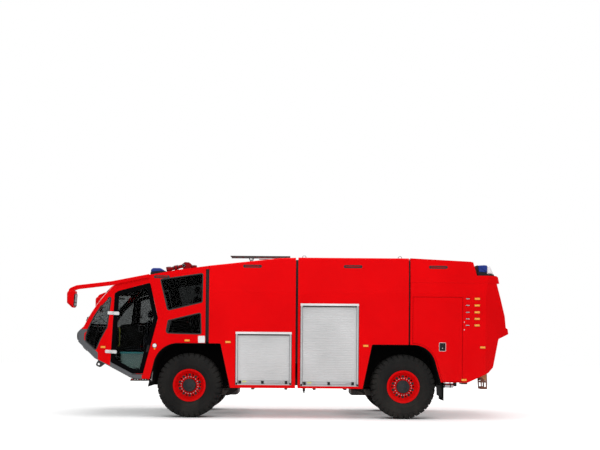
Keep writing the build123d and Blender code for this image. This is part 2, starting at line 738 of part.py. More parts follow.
def rear_form():
    """Outer form of the engine module, with its corners folded in towards the tail."""
    plan_rows = [
        (R(REAR_BODY_START), -HALF_WIDTH, 0), (R(REAR_BODY_START), HALF_WIDTH, 0),
        (R(CORNER_FOLD), HALF_WIDTH, 0), (R(TAIL_END) + 60, TAIL_HALF_WIDTH, 60),
        (R(TAIL_END) + 60, -TAIL_HALF_WIDTH, 60),
        (R(CORNER_FOLD), -HALF_WIDTH, 0),
    ]
    form = side(outline(REAR_OUTLINE), -BEYOND, BEYOND) & plan(outline(plan_rows), 0, 3600)
    return form & module_walls(R(REAR_BODY_START), R(TAIL_END) + 100)


REAR_FORM = rear_form()


def flap_outline():
    """Outline of the engine flap's recess: square at the top, following the wheel arch below."""
    sheet = outline([(R(181), 1000, 0), (R(181), FLAP_TOP_Z, 0), (R(1229), FLAP_TOP_Z, 0), (R(1229), 800, 0),
                     (R(700), 800, 0), (R(700), 1000, 0)])
    return sheet - grown(outline(REAR_ARCH), 25)


def rear_body():
    """Engine module: open inside, with a flap opening on each side."""
    body = REAR_FORM - block(R(0), R(TAIL_END), -BEYOND, BEYOND, CAP_SEAM_Z, 3600)
    body = body - arch_void(REAR_ARCH) - tunnel(R(0), R(1690))
    x0, x1, z0, z1 = ENGINE_BAY
    inner = HALF_WIDTH - FLAP_THICKNESS - 20
    body = body - block(x0, x1, -inner, inner, z0, z1)
    body = body - block(x0, x1, -TUNNEL_HALF_WIDTH, TUNNEL_HALF_WIDTH, RAIL_TOP_Z - 10, z0 + 10)
    recess = side(flap_outline(), -BEYOND, -(HALF_WIDTH - FLAP_THICKNESS - SEAM))
    opening = side(grown(flap_outline(), -FLAP_LIP), -BEYOND, -(inner - 10))
    opening = opening & block(x0, x1, -BEYOND, 0, z0, z1)
    body = both_cuts(body, recess)
    body = both_cuts(body, opening)
    for z in COLUMN_HEIGHTS:
        vent = Pos(VENT_COLUMN_X, z) * SlotOverall(88, 32)
        body = both_cuts(body, side(vent, -HALF_WIDTH - 20, -HALF_WIDTH + VENT_DEPTH))
    return grille_pocket(body)


GRILLE = (850.0, 2010.0, 2790.0, 130.0)
# Columns of vents and amber lamps beside the flap
VENT_COLUMN_X = R(1333)
LAMP_COLUMN_X = R(1528)
COLUMN_HEIGHTS = [1984.0, 2120.0, 2258.0, 2402.0, 2541.0]
VENT_DEPTH = 14.0


def grille_band(inner, outer):
    """Outline of the grille's height between two depths behind the sloping tail."""
    _, low, high, _ = GRILLE
    return outline([
        (tail_x(low) - inner, low, 0), (tail_x(high) - inner, high, 0), (tail_x(high) - outer, high, 0),
        (tail_x(low) - outer, low, 0),
    ])


def grille_pocket(body):
    """Cuts the pocket for the radiator grille from the sloping tail."""
    half, _, _, depth = GRILLE
    return body - side(grille_band(depth, -200), -half, half)


def tail_x(height):
    """Station of the sloping tail at a height."""
    slope = [(1938.0, R(2178)), (2180.0, R(2152)), (2552.0, R(2051)), (CAP_SEAM_Z - 2, R(1958))]
    for (z0, x0), (z1, x1) in zip(slope, slope[1:]):
        if z0 <= height <= z1:
            return x0 + (x1 - x0) * (height - z0) / (z1 - z0)
    return slope[-1][1]


def rear_grille():
    """Louvred radiator grille: slanted slats on two uprights."""
    half, low, high, depth = GRILLE
    count = 13
    pitch = (high - low - 60) / (count - 1)
    grille = None
    for y in (-half / 3, half / 3):
        upright = side(grown(grille_band(depth, 20), -SEAM), y - 12, y + 12)
        grille = upright if grille is None else grille + upright
    for step in range(count):
        z = low + 30 + step * pitch
        x = tail_x(z)
        slat = outline([(x - 75, z + 22, 0), (x - 14, z - 22, 0), (x - 8, z - 14, 0), (x - 67, z + 29, 0)])
        grille = grille + side(slat, -half + SEAM, half - SEAM)
    return grille


def roof_cap():
    """Roof of the engine module with the low deck for the rear beacons."""
    cap = REAR_FORM & block(R(0), R(TAIL_END) + 90, -BEYOND, BEYOND, CAP_SEAM_Z, 3600)
    return both_cuts(cap, slot_light(*SLOT_LIGHTS[2], SEAM))


def rear_beacons():
    """Rear lamp pods: a beacon and a clear work lamp in one housing, left and right."""
    pod = outline([
        (R(1562), DECK_Z - 20, 0), (R(1535), DECK_Z + 225, 20), (R(1700), DECK_Z + 232, 15),
        (R(1820), DECK_Z + 220, 30), (R(1905), DECK_Z + 30, 10), (R(1930), DECK_Z - 20, 0),
    ])
    return pair(side(pod, -HALF_WIDTH + 140, -HALF_WIDTH + 440) - REAR_FORM)


def body_seals():
    """Dark rubber strips that close the gaps between cab and modules."""
    gaps = [
        (F(CAB_REAR), F(FRONT_BODY_START), ARCH_TOP_Z + 20, CAB_OVERHANG_Z),
        (F(FRONT_BODY_END), F(MID_BODY_START), RAIL_TOP_Z + 20, BODY_TOP_Z - 50),
        (R(MID_BODY_END), R(REAR_BODY_START), ARCH_TOP_Z + 20, BODY_TOP_Z - 50),
    ]
    half = ROOF_HALF_WIDTH - SEAL_RECESS
    strips = []
    for x0, x1, z0, z1 in gaps:
        strip = block(x0 + SEAM, x1 - SEAM, -half, half, z0, z1 - SEAM)
        room = half - SEAL_WIDTH
        strips += separate(strip - block(x0, x1, -room, room, z0 - 1, z1 - SEAL_WIDTH))
    return Compound(children=strips)


def arch_liners():
    """Black wells over the wheels and the guards that hang from the sills behind and ahead of them."""
    pieces = []
    well = WELL_DEPTH - HALF_WIDTH
    for rows, axle_x in ((FRONT_ARCH, FRONT_AXLE_X), (REAR_ARCH, REAR_AXLE_X)):
        outer = grown(outline(rows), -SEAM)
        liner = side(outer - grown(outer, -WELL_SKIN), -HALF_WIDTH + 12, well)
        liner = liner + side(outer, well - WELL_SKIN, well)
        span = block(rows[0][0] + 60, rows[3][0] - 60, -BEYOND, 0, SILL_Z + 12, ARCH_TOP_Z)
        axle_slot = block(axle_x - 200, axle_x + 200, well - 50, well + 50, 0, AXLE_Z + 200)
        pieces += separate((liner & span) - axle_slot)
    front_guard = outline([(F(872), SILL_Z - SEAM, 0), (F(770), 500, 0), (F(790), 470, 20), (F(865), 490, 20),
                           (F(945), 545, 20), (F(1040), SILL_Z - SEAM, 0)])
    rear_guard = outline([(R(-1050), SILL_Z - SEAM, 0), (R(-990), 596, 10), (R(-880), 572, 15),
                          (R(-840), 530, 15), (R(-768), 486, 5), (R(-862), SILL_Z - SEAM, 0)])
    for guard in (front_guard, rear_guard):
        pieces += separate(side(guard, -HALF_WIDTH + 20, -GUARD_INNER_Y))
    flap = outline([(R(835), REAR_SKIRT_Z - SEAM, 0), (R(835), 400, 0), (R(843), 400, 0),
                    (R(843), REAR_SKIRT_Z - SEAM, 0)])
    pieces += separate(side(flap, -HALF_WIDTH + 20, -GUARD_INNER_Y))
    return pair(Compound(children=pieces))


# Shutters and flaps


def shutter_frames():
    """Extruded frames round the locker openings."""
    frames = []
    for _, x0, x1, z0, z1 in LOCKERS:
        back = -HALF_WIDTH + SHUTTER_FRAME_DEPTH
        outer = block(x0 + SEAM, x1 - SEAM, -HALF_WIDTH - 4, back, z0 + SEAM, z1 - SEAM)
        edge = SHUTTER_FRAME
        inner = block(x0 + edge, x1 - edge, -BEYOND, 0, z0 + edge / 2, z1 - edge)
        frames += separate(outer - inner)
    return pair(Compound(children=frames))


def clear_opening(row):
    """Stations and heights of a locker's clear opening."""
    _, x0, x1, z0, z1 = row
    return x0 + SHUTTER_FRAME, x1 - SHUTTER_FRAME, z0 + SHUTTER_FRAME / 2, z1 - SHUTTER_FRAME


def bottom_rail(row):
    """Bottom rail of the left shutter, with its pull bar."""
    x0, x1, z0, _ = clear_opening(row)
    outer_y = -HALF_WIDTH + CURTAIN_RECESS - 10
    inner_y, top = outer_y + BOTTOM_RAIL_DEPTH, z0 + BOTTOM_RAIL_HEIGHT
    bar = block(x0 + SLIDE_GAP, x1 - SLIDE_GAP, outer_y, inner_y, z0 + SEAM, top)
    grip = rod((x0 + 90, outer_y - 8, z0 + 34), (x1 - 90, outer_y - 8, z0 + 34), 13)
    return bar + grip


def curtain(row):
    """Closed curtain of the left shutter, with a groove between each pair of slats."""
    x0, x1, z0, z1 = clear_opening(row)
    y0 = -HALF_WIDTH + CURTAIN_RECESS
    low, high = z0 + BOTTOM_RAIL_HEIGHT + SEAM, z1 - SEAM
    count = round((high - low) / SLAT_PITCH)
    pitch = (high - low) / count
    points = [(y0 + CURTAIN_THICKNESS, low)]
    for step in range(count):
        foot = low + step * pitch
        points += [(y0 + SLAT_GROOVE, foot), (y0, foot + SLAT_GROOVE), (y0, foot + pitch - SLAT_GROOVE)]
    points += [(y0 + SLAT_GROOVE, high), (y0 + CURTAIN_THICKNESS, high)]
    return section(Polygon(*points, align=None), x0 + SEAM, x1 - SEAM)


def engine_flap():
    """Left engine flap, hinged along its top edge, with the pocket for its latch."""
    flap = side(grown(flap_outline(), -FLAP_GAP), -HALF_WIDTH, -(HALF_WIDTH - FLAP_THICKNESS))
    return flap - block(R(745), R(871), -HALF_WIDTH - 20, -HALF_WIDTH + LATCH_DEPTH, 1443, 1611)


# Lamps and small outer pieces

# Side markers as rows of station, height and body they sit on
MARKERS = [(F(-1811), 1470.0), (F(-45), 1622.0), (F(813), 1596.0), (R(-799), 1620.0), (R(1650), 1523.0),
           (R(1263), 839.0)]


def side_lamps():
    """Amber side markers, a round lamp by the cab door and the lights set into the roof edge."""
    skin = WHOLE_CAB + front_body_form() + module_walls(F(MID_BODY_START), R(MID_BODY_END)) + REAR_FORM
    lamps = []
    for x, z in MARKERS + [(LAMP_COLUMN_X, z) for z in COLUMN_HEIGHTS]:
        lamp = block(x - 55, x + 55, -HALF_WIDTH - 12, -HALF_WIDTH + 220, z - 22, z + 22)
        lamps += separate(lamp - skin)
    lamps += separate(rod((F(-726), -HALF_WIDTH - 12, 1510), (F(-726), -HALF_WIDTH + 80, 1510), 48) - skin)
    for x, z in SLOT_LIGHTS:
        lamps += separate(slot_light(x, z) & skin)
    return pair(Compound(children=lamps))


def tail_lamps():
    """Upright lamp clusters on the lower tail."""
    shape = outline([(R(1905), 1240, 10), (R(1968), 1560, 10), (R(1998), 1555, 8), (R(1935), 1233, 8)])
    return pair(side(shape, -TAIL_HALF_WIDTH + 110, -TAIL_HALF_WIDTH + 270) - REAR_FORM)


def rear_steps():
    """Hanging steps under the rear corners."""
    steps = []
    plate = outline([(R(1620), 1100, 0), (R(1655), 640, 20), (R(1785), 640, 20), (R(1770), 1100, 0)])
    outer, inner = -HALF_WIDTH + 170, -HALF_WIDTH + 490
    for y in (outer, inner):
        steps.append(side(plate, y - 5, y + 5))
    frame = steps[0] + steps[1]
    for z in (640, 780):
        frame = frame + block(R(1650), R(1780), outer, inner, z, z + 28)
    window = outline([(R(1668), 820, 10), (R(1672), 690, 10), (R(1755), 690, 10), (R(1755), 820, 10)])
    middle = block(R(1600), R(1800), outer + 10, inner - 10, 0, 1200)
    frame = frame - (side(window, outer - 70, inner + 110) - middle)
    return pair(frame - REAR_FORM)


def cab_steps():
    """Grip steps under the cab doors."""
    tread = block(F(-1234), F(-880), -HALF_WIDTH + 20, -HALF_WIDTH + 230, 766, 786)
    for x in (F(-1200), F(-950)):
        tread = tread + block(x, x + 40, -HALF_WIDTH + 60, -HALF_WIDTH + 200, 784, CAB_UNDERSIDE_Z - SEAM)
    return pair(tread)


def air_tanks():
    """Air reservoirs slung behind the rear wheels."""
    y, z = -HALF_WIDTH + 350, REAR_SKIRT_Z - 80
    tank = rod((R(845), y, z), (R(1097), y, z), 46)
    for x in (R(900), R(1010)):
        tank = tank + block(x, x + 30, y - 20, y + 20, z, REAR_SKIRT_Z - SEAM)
    return pair(tank)


# Running gear


def chassis_frame():
    """Two rails joined by crossmembers, with spring hangers."""
    low = RAIL_TOP_Z - RAIL_HEIGHT
    front_low, front_high = arch_front_x(low) + SEAM, arch_front_x(RAIL_TOP_Z) + SEAM
    high, rear = RAIL_TOP_Z - SEAM, R(1660)
    rows = [(front_low, low, 0), (front_high, high, 0), (rear, high, 0), (rear, low, 0)]
    outer, inner = RAIL_HALF_SPREAD + RAIL_WIDTH / 2, RAIL_HALF_SPREAD - RAIL_WIDTH / 2
    frame = side(outline(rows), -outer, -inner) + side(outline(rows), inner, outer)
    for x in (F(-640), F(640), F(1600), F(2900), R(-700), R(700), R(1550)):
        frame = frame + block(x - 45, x + 45, -inner - 2, inner + 2, low + 30, RAIL_TOP_Z - 40)
    for axle_x in (FRONT_AXLE_X, REAR_AXLE_X):
        for sense in (-1, 1):
            x = axle_x + sense * LEAF_HALF_SPAN
            for y in (-RAIL_HALF_SPREAD, RAIL_HALF_SPREAD):
                frame = frame + block(x - 40, x + 40, y - 40, y + 40, low - 34, low + 5)
    return frame


LEAF_END_Z = RAIL_TOP_Z - RAIL_HEIGHT - 34.0
SPRING_SEAT_Z = AXLE_Z + AXLE_TUBE_RADIUS + 24.0


def suspension():
    """Parabolic leaf springs, curved between the hangers and the axle seats."""
    springs = []
    sag = LEAF_END_Z - SEAM - LEAF_THICKNESS - SPRING_SEAT_Z - SEAM
    for axle_x in (FRONT_AXLE_X, REAR_AXLE_X):
        reach, seat_z = LEAF_HALF_SPAN + 38, SPRING_SEAT_Z + SEAM
        left, right = (axle_x - reach, seat_z + sag), (axle_x + reach, seat_z + sag)
        lower = ThreePointArc(left, (axle_x, seat_z), right)
        upper = Pos(0, LEAF_THICKNESS) * lower
        joins = [Line(lower @ 0, upper @ 0), Line(lower @ 1, upper @ 1)]
        face = make_face([*lower.edges(), *upper.edges(), *joins[0].edges(), *joins[1].edges()])
        for y in (-RAIL_HALF_SPREAD, RAIL_HALF_SPREAD):
            springs += separate(side(face, y - LEAF_WIDTH / 2, y + LEAF_WIDTH / 2))
    return Compound(children=springs)


def axle_core(x, tube_end):
    """Axle casing with its differential and the seats for the springs."""
    tube = rod((x, -tube_end, AXLE_Z), (x, tube_end, AXLE_Z), AXLE_TUBE_RADIUS)
    bowl = Pos(x, 0, AXLE_Z) * Sphere(190)
    bowl = bowl & block(x - 300, x + 300, -150, 150, 0, 2000)
    core = tube + bowl
    for y in (-RAIL_HALF_SPREAD, RAIL_HALF_SPREAD):
        core = core + block(x - 75, x + 75, y - 45, y + 45, AXLE_Z, SPRING_SEAT_Z)
    return core


def front_axle():
    """Steered axle with a forked end and kingpin on each side."""
    core = axle_core(FRONT_AXLE_X, KINGPIN_Y - 105)
    x0, x1 = FRONT_AXLE_X - 55, FRONT_AXLE_X + 55
    for sense in (-1, 1):
        y = sense * KINGPIN_Y
        for level in (-1, 1):
            z = AXLE_Z + level * 165
            arm = rod((FRONT_AXLE_X, y, z - 15), (FRONT_AXLE_X, y, z + 15), 62)
            core = core + arm + block(x0, x1, y - sense * 130, y, z - 15, z + 15)
        core = core + block(x0, x1, y - sense * 140, y - sense * 100, AXLE_Z - 180, AXLE_Z + 180)
        core = core + rod((FRONT_AXLE_X, y, AXLE_Z - 170), (FRONT_AXLE_X, y, AXLE_Z + 170), KINGPIN_RADIUS)
    return core


SPINDLE_END_Y = WHEEL_Y + 110.0


def rear_axle():
    """Rigid rear axle with a spindle for each wheel."""
    x, end = REAR_AXLE_X, SPINDLE_END_Y
    return axle_core(x, WHEEL_Y - 70) + rod((x, -end, AXLE_Z), (x, end, AXLE_Z), SPINDLE_RADIUS)


def knuckle():
    """Left steering knuckle with its spindle and steering arm."""
    x, y = FRONT_AXLE_X, -KINGPIN_Y
    body = rod((x, y, AXLE_Z - 148), (x, y, AXLE_Z + 148), 58)
    body = body + rod((x, y, AXLE_Z), (x, -SPINDLE_END_Y, AXLE_Z), SPINDLE_RADIUS)
    body = body + block(x + 10, x + 240, y - 26, y + 26, AXLE_Z - 90, AXLE_Z - 50)
    return body - rod((x, y, AXLE_Z - 200), (x, y, AXLE_Z + 200), KINGPIN_RADIUS + RUNNING_FIT)


def driveline():
    """Transfer box with shafts to both axles and to the engine."""
    x = F(2200)
    box = block(x - 260, x + 260, -210, 210, 640, 1000)
    box = box + rod((x, 0, 720), (FRONT_AXLE_X + 185, 0, AXLE_Z), 50)
    box = box + rod((x, 0, 720), (REAR_AXLE_X - 185, 0, AXLE_Z), 50)
    return box - axle_core(FRONT_AXLE_X, 300) - axle_core(REAR_AXLE_X, 300)


def engine_block():
    """Engine and gearbox as one plain mass on the rails."""
    half = RAIL_HALF_SPREAD + RAIL_WIDTH / 2
    return block(R(330), R(1500), -half, half, RAIL_TOP_Z, 2050)


def turned(profile):
    """Round piece turned about the wheel axis, from a profile of radius and distance outwards."""
    return revolve(Plane.XZ * profile, axis=Axis.Z, revolution_arc=360)


# Rim flange as rows of drop below the rim's radius and distance in from the rim's edge
FLANGE = [(0.0, 11.0), (36.0, 24.0), (42.0 + SEAM, 32.0)]


def tread_grooves():
    """Grooves between the shoulder lugs: two rows, one half a pitch ahead of the other."""
    half, root = TYRE_WIDTH / 2, TYRE_RADIUS - TREAD_DEPTH
    width = 2 * math.pi * TYRE_RADIUS / LUGS * (1 - LUG_SHARE)
    beyond = TYRE_RADIUS + 30
    profile = Polygon((root, 28), (beyond, 28), (beyond, half + 20), (root - 78, half + 20),
                      (root - 78, half - 6), (root - 16, half - 78), align=None)
    cutter = Rot(LUG_SLANT, 0, 0) * extrude(Plane.XZ * profile, amount=width / 2, both=True)
    other = mirror(cutter, about=Plane.XY)
    grooves = []
    for step in range(LUGS):
        turn = 360.0 * step / LUGS
        grooves += [Rot(0, 0, turn) * cutter, Rot(0, 0, turn + 180.0 / LUGS) * other]
    return grooves


def tyre_shape():
    """Tyre centred on the origin, with its axis along Z and the outer side up."""
    half, bead = TYRE_WIDTH / 2, RIM_WIDTH / 2
    crown = TYRE_RADIUS
    seat = [(RIM_RADIUS - drop + SEAM, bead - inset - SEAM, 0) for drop, inset in reversed(FLANGE)]
    outer = seat + [
        (RIM_RADIUS + 10, bead - 11, 0), (RIM_RADIUS + 70, half - 14, 0), (crown - 195, half - 2, 0),
        (crown - 150, half, 0), (crown - 70, half - 12, 0), (crown - 35, half - 32, 0),
        (crown - 12, half - 62, 0), (crown, half - 120, 0),
    ]
    inner = [(crown - 70, half - 90, 0), (RIM_RADIUS + 30, bead - 60, 0)]
    rows = outer + [(r, -y, c) for r, y, c in reversed(outer)]
    rows += [(r, -y, c) for r, y, c in reversed(inner)] + inner
    return turned(outline(rows)) - tread_grooves()


def rim_shape():
    """Rim, dished disc and planetary hub, bored for the spindle."""
    bead = RIM_WIDTH / 2
    seat = RIM_RADIUS - FLANGE[-1][0]
    flange = [(RIM_RADIUS, bead, 4)] + [(RIM_RADIUS - drop, bead - inset, 0) for drop, inset in FLANGE]
    flange += [(seat - 26, bead - 90, 0)]
    rows = flange + [(r, -y, c) for r, y, c in reversed(flange)] + [
        (RIM_RADIUS - 40, -bead, 0), (seat - 12, -bead + 36, 0),
        (seat - 40, -bead + 96, 0), (seat - 40, 96, 0), (232, 118, 0), (150, 118, 0), (150, -60, 0),
        (SPINDLE_RADIUS + RUNNING_FIT, -60, 0), (SPINDLE_RADIUS + RUNNING_FIT, 112, 0), (0, 112, 0),
        (0, 262, 0), (108, 262, 12), (124, 236, 0), (124, 150, 0), (240, 150, 0), (seat - 44, 172, 20),
        (seat - 14, bead - 30, 0),
        (RIM_RADIUS - 40, bead, 0),
    ]
    rim = turned(outline(rows))
    for step in range(10):
        turn = math.radians(36 * step)
        hole = (222 * math.cos(turn), 222 * math.sin(turn))
        rim = rim - Pos(hole[0], hole[1], 130) * Cylinder(20, 120)
    return rim


# Wheels as rows of name, station and side
WHEELS = [("front_left", FRONT_AXLE_X, -1), ("front_right", FRONT_AXLE_X, 1),
          ("rear_left", REAR_AXLE_X, -1), ("rear_right", REAR_AXLE_X, 1)]


def on_wheel(shape, x, sense):
    """Places a wheel piece on its axle end, outer side outwards."""
    return Plane(origin=(x, sense * WHEEL_Y, AXLE_Z), x_dir=(1, 0, 0), z_dir=(0, sense, 0)) * shape


# Mounts


def tow_eyes():
    """Bored towing lugs under the nose."""
    lug = outline([(F(-2020), 1300, 0), (F(-2150), 1060, 45), (F(-2040), 1020, 45), (F(-1800), 1200, 0)])
    eye = side(lug, -620, -580) - rod((F(-2075), -700, 1090), (F(-2075), -500, 1090), 26)
    return pair(eye - WHOLE_CAB)


TOW_PIN_RADIUS = 20.0


def tow_jaw():
    """Towing jaw under the tail, bored for an upright pin."""
    x = R(1960)
    jaw = block(R(1790), x + 50, -70, 70, 1040, 1150) - block(R(1925), x + 80, -90, 90, 1072, 1118)
    jaw = jaw - rod((x, 0, 1000), (x, 0, 1200), TOW_PIN_RADIUS)
    return jaw - REAR_FORM


def together(*shapes):
    """Several pieces as one node of solids that don't touch."""
    return Compound(children=[solid for shape in shapes for solid in separate(shape)])


def all_parts():
    """Every node by name."""
    door = together(door_panel(), door_hinges())
    door_glass = pane(DOOR, -BEYOND, -100, DOOR_GAP + DOOR_FRAME)
    parts = {
        "chassis_frame": chassis_frame(), "suspension": suspension(), "front_axle": front_axle(),
        "rear_axle": rear_axle(), "driveline": driveline(), "engine_block": engine_block(),
        "front_body": front_body(), "mid_body": mid_body(), "rear_body": rear_body(), "roof_cap": roof_cap(),
        "rear_grille": rear_grille(), "body_seals": body_seals(), "arch_liners": arch_liners(),
        "cab_roof": cab_roof(), "cab_left_side": cab_side(), "cab_right_side": flip(cab_side()),
        "cab_front": cab_front(), "cab_floor": cab_floor(), "cab_rear_wall": cab_rear_wall(),
        "front_bumper": together(front_bumper(), door_sills()), "windscreen": windscreen(),
        "cab_windows": cab_windows(), "hinge_brackets": hinge_brackets(), "dashboard": dashboard(),
        "steering_wheel": steering_wheel(), "seats": seats(), "mirrors": mirrors(),
        "beacons": together(cab_beacons(), rear_beacons()),
        "lamps": together(headlamps(), side_lamps(), tail_lamps()),
        "steps": together(cab_steps(), rear_steps()), "air_tanks": air_tanks(),
        "shutter_frames": shutter_frames(), "tow_points": together(tow_eyes(), tow_jaw()),
        "roof_gear": together(monitor_riser(), roof_ladder()), "monitor_swivel": monitor_swivel(),
        "monitor_barrel": monitor_barrel(), "door_left": door, "door_left_glass": door_glass,
        "door_right": flip(door), "door_right_glass": flip(door_glass), "knuckle_left": knuckle(),
        "knuckle_right": flip(knuckle()), "flap_left": engine_flap(), "flap_right": flip(engine_flap()),
    }
    curtains = []
    for row in LOCKERS:
        rail, cloth = bottom_rail(row), curtain(row)
        parts["shutter_rail_" + row[0] + "_left"] = rail
        parts["shutter_rail_" + row[0] + "_right"] = flip(rail)
        curtains += [("curtain_" + row[0] + "_left", cloth), ("curtain_" + row[0] + "_right", flip(cloth))]
    parts.update(curtains)
    tyre, rim = tyre_shape(), rim_shape()
    for name, x, sense in WHEELS:
        parts["wheel_" + name] = on_wheel(rim, x, sense)
        parts["tyre_" + name] = on_wheel(tyre, x, sense)
    return parts


os.makedirs("parts", exist_ok=True)
for node, shape in all_parts().items():
    export_step(shape, "parts/" + node + ".step")
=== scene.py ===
"""Airport fire truck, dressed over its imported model.

The file is laid out as an add-on, and is run as a script. Everything is in metres, in the
model's own frame: the front faces -X, the driver's left is -Y and the ground is Z = 0.
"""

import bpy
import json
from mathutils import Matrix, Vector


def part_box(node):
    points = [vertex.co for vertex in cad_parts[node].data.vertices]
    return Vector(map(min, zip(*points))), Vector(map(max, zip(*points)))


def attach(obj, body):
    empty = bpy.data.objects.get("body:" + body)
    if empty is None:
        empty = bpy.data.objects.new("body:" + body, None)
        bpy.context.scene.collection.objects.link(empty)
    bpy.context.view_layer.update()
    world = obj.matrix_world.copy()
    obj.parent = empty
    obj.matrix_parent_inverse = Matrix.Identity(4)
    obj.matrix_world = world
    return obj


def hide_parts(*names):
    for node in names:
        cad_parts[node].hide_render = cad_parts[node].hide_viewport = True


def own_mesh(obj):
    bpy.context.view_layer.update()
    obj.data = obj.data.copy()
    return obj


bl_info = {
    "name": "Airport fire truck",
    "version": (1, 0, 0),
    "blender": (4, 5, 0),
    "location": "3D View > Sidebar > Fire truck",
    "description": "Dresses the packed fire truck and builds its stage",
    "category": "Object",
}

import json
import math

import bmesh
import bpy
from bpy.props import FloatProperty, FloatVectorProperty, IntProperty, PointerProperty
from mathutils import Matrix, Vector
from mathutils.bvhtree import BVHTree

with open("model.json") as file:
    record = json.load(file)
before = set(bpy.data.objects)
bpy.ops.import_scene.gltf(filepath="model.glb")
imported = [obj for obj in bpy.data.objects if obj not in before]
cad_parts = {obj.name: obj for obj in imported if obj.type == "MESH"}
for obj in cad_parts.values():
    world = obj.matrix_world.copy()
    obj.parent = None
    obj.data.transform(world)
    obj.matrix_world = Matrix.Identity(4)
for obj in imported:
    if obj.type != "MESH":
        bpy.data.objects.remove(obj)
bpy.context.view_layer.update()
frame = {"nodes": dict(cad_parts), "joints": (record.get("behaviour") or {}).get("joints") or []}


def spin_centre(name):
    """Centre of a wheel, from its joint."""
    return next(Vector(j["pos_m"]) for j in frame["joints"] if j["name"] == "spin_" + name)


FRONT_X = spin_centre("front_left").x
REAR_X = spin_centre("rear_left").x
HALF_WIDTH = 1.5
SIDES = (("left", -1), ("right", 1))
# Directions, then where the lines start that look for the near side and for the nose
ALONG, ACROSS, UP, OUT = (1, 0, 0), (0, 1, 0), (0, 0, 1), (0, -1, 0)
BESIDE, AHEAD = -3.0, -6.0
CORNERS = [(end + "_" + hand, sense) for end in ("front", "rear") for hand, sense in SIDES]


def F(distance):
    """Station behind the front axle."""
    return FRONT_X + distance


def R(distance):
    """Station behind the rear axle."""
    return REAR_X + distance


# Sizes and colours that a user would change


def size(name, description, default, low=0.0, high=10.0):
    """A length in metres."""
    return FloatProperty(name=name, description=description, default=default, min=low, max=high, subtype="DISTANCE",
        unit="LENGTH")


def colour(name, description, default):
    """A colour as red, green and blue."""
    return FloatVectorProperty(name=name, description=description, default=default, min=0.0, max=1.0, size=3,
        subtype="COLOR")


def share(name, description, default, high=1.0):
    """A plain number from nought."""
    return FloatProperty(name=name, description=description, default=default, min=0.0, max=high, subtype="FACTOR")


class PaintSettings(bpy.types.PropertyGroup):
    body: colour("Body", "Paint of the body and the cab", (0.78, 0.0014, 0.0032))
    wheel: colour("Wheels", "Paint of the wheel discs", (0.74, 0.002, 0.003))
    trim: colour("Trim", "Grey of the bumper and sills", (0.036, 0.037, 0.039))
    shutter: colour("Shutters", "Anodised slats", (0.6, 0.605, 0.61))
    amber: colour("Amber lenses", "Side markers and indicators", (1.0, 0.36, 0.02))
    beacon: colour("Beacon lenses", "Blue lenses of the beacons", (0.012, 0.035, 0.24))
    dust: share("Dust", "Road dust on the lower panels", 0.02)


class TyreSettings(bpy.types.PropertyGroup):
    lugs: IntProperty(name="Lugs", description="Lugs round each side of a tyre", default=34, min=12, max=60)
    nuts: IntProperty(name="Nuts", description="Wheel nuts on each wheel", default=20, min=6, max=24)


class ShutterSettings(bpy.types.PropertyGroup):
    pitch: size("Slat pitch", "Height of one slat", 0.036, 0.02, 0.1)
    groove: size("Groove", "Depth of the groove between slats", 0.004, 0.0, 0.01)


class StageSettings(bpy.types.PropertyGroup):
    floor: size("Floor", "Width of the floor", 90.0, 10.0, 200.0)
    distance: size("Distance", "From the camera to the near side of the truck", 20.0, 5.0, 60.0)
    eye: size("Eye height", "Height of the camera", 1.607, 0.2, 5.0)
    key: FloatProperty(name="Key light", description="Power of the overhead softbox", default=900.0, min=0.0,
        max=20000.0, subtype="POWER", unit="POWER")
    fill: FloatProperty(name="Fill light", description="Power of the side softbox", default=700.0, min=0.0,
        max=20000.0, subtype="POWER", unit="POWER")


def settings(name):
    """One of the property groups on the scene."""
    return getattr(bpy.context.scene, "truck_" + name)


# Shader nodes


def feed(tree, node, **values):
    """Sets or links each socket that a value names; any other name is the node's own field."""
    for key, value in values.items():
        wanted = key.replace("_", " ")
        socket = next((s for s in node.inputs if s.name == wanted and s.enabled), None)
        if key[0] == "i" and key[1:].isdigit():
            socket = node.inputs[int(key[1:])]
        if socket is None:
            setattr(node, key, value)
        elif isinstance(value, bpy.types.NodeSocket):
            tree.links.new(value, socket)
        else:
            socket.default_value = (*value, 1.0) if socket.type == "RGBA" and len(value) == 3 else value
    return node


def put(tree, kind, **values):
    """Adds a shader node and feeds it."""
    return feed(tree, tree.nodes.new("ShaderNode" + kind), **values)


def maths(tree, operation, first, second=0.0, clamp=False):
    """One sum, as its result socket."""
    return put(tree, "Math", operation=operation, use_clamp=clamp, i0=first, i1=second).outputs[0]


def blend_colours(tree, mask, low, high):
    """Mixes two colours by a mask, as the result socket."""
    return put(tree, "Mix", data_type="RGBA", i0=mask, i6=low, i7=high).outputs[2]


def span(tree, value, low, high, out_low=0.0, out_high=1.0):
    """Maps a range on to another, clamped."""
    return put(tree, "MapRange", i0=value, i1=low, i2=high, i3=out_low, i4=out_high).outputs[0]


def new_group(name, inputs, outputs):
    """An empty shader group with named sockets."""
    tree = bpy.data.node_groups.new(name, "ShaderNodeTree")
    for label, default in inputs:
        socket = tree.interface.new_socket(name=label, in_out="INPUT", socket_type="NodeSocketFloat")
        socket.default_value = default
    for label, kind in outputs:
        tree.interface.new_socket(name=label, in_out="OUTPUT", socket_type="NodeSocket" + kind)
    return tree, tree.nodes.new("NodeGroupInput"), tree.nodes.new("NodeGroupOutput")


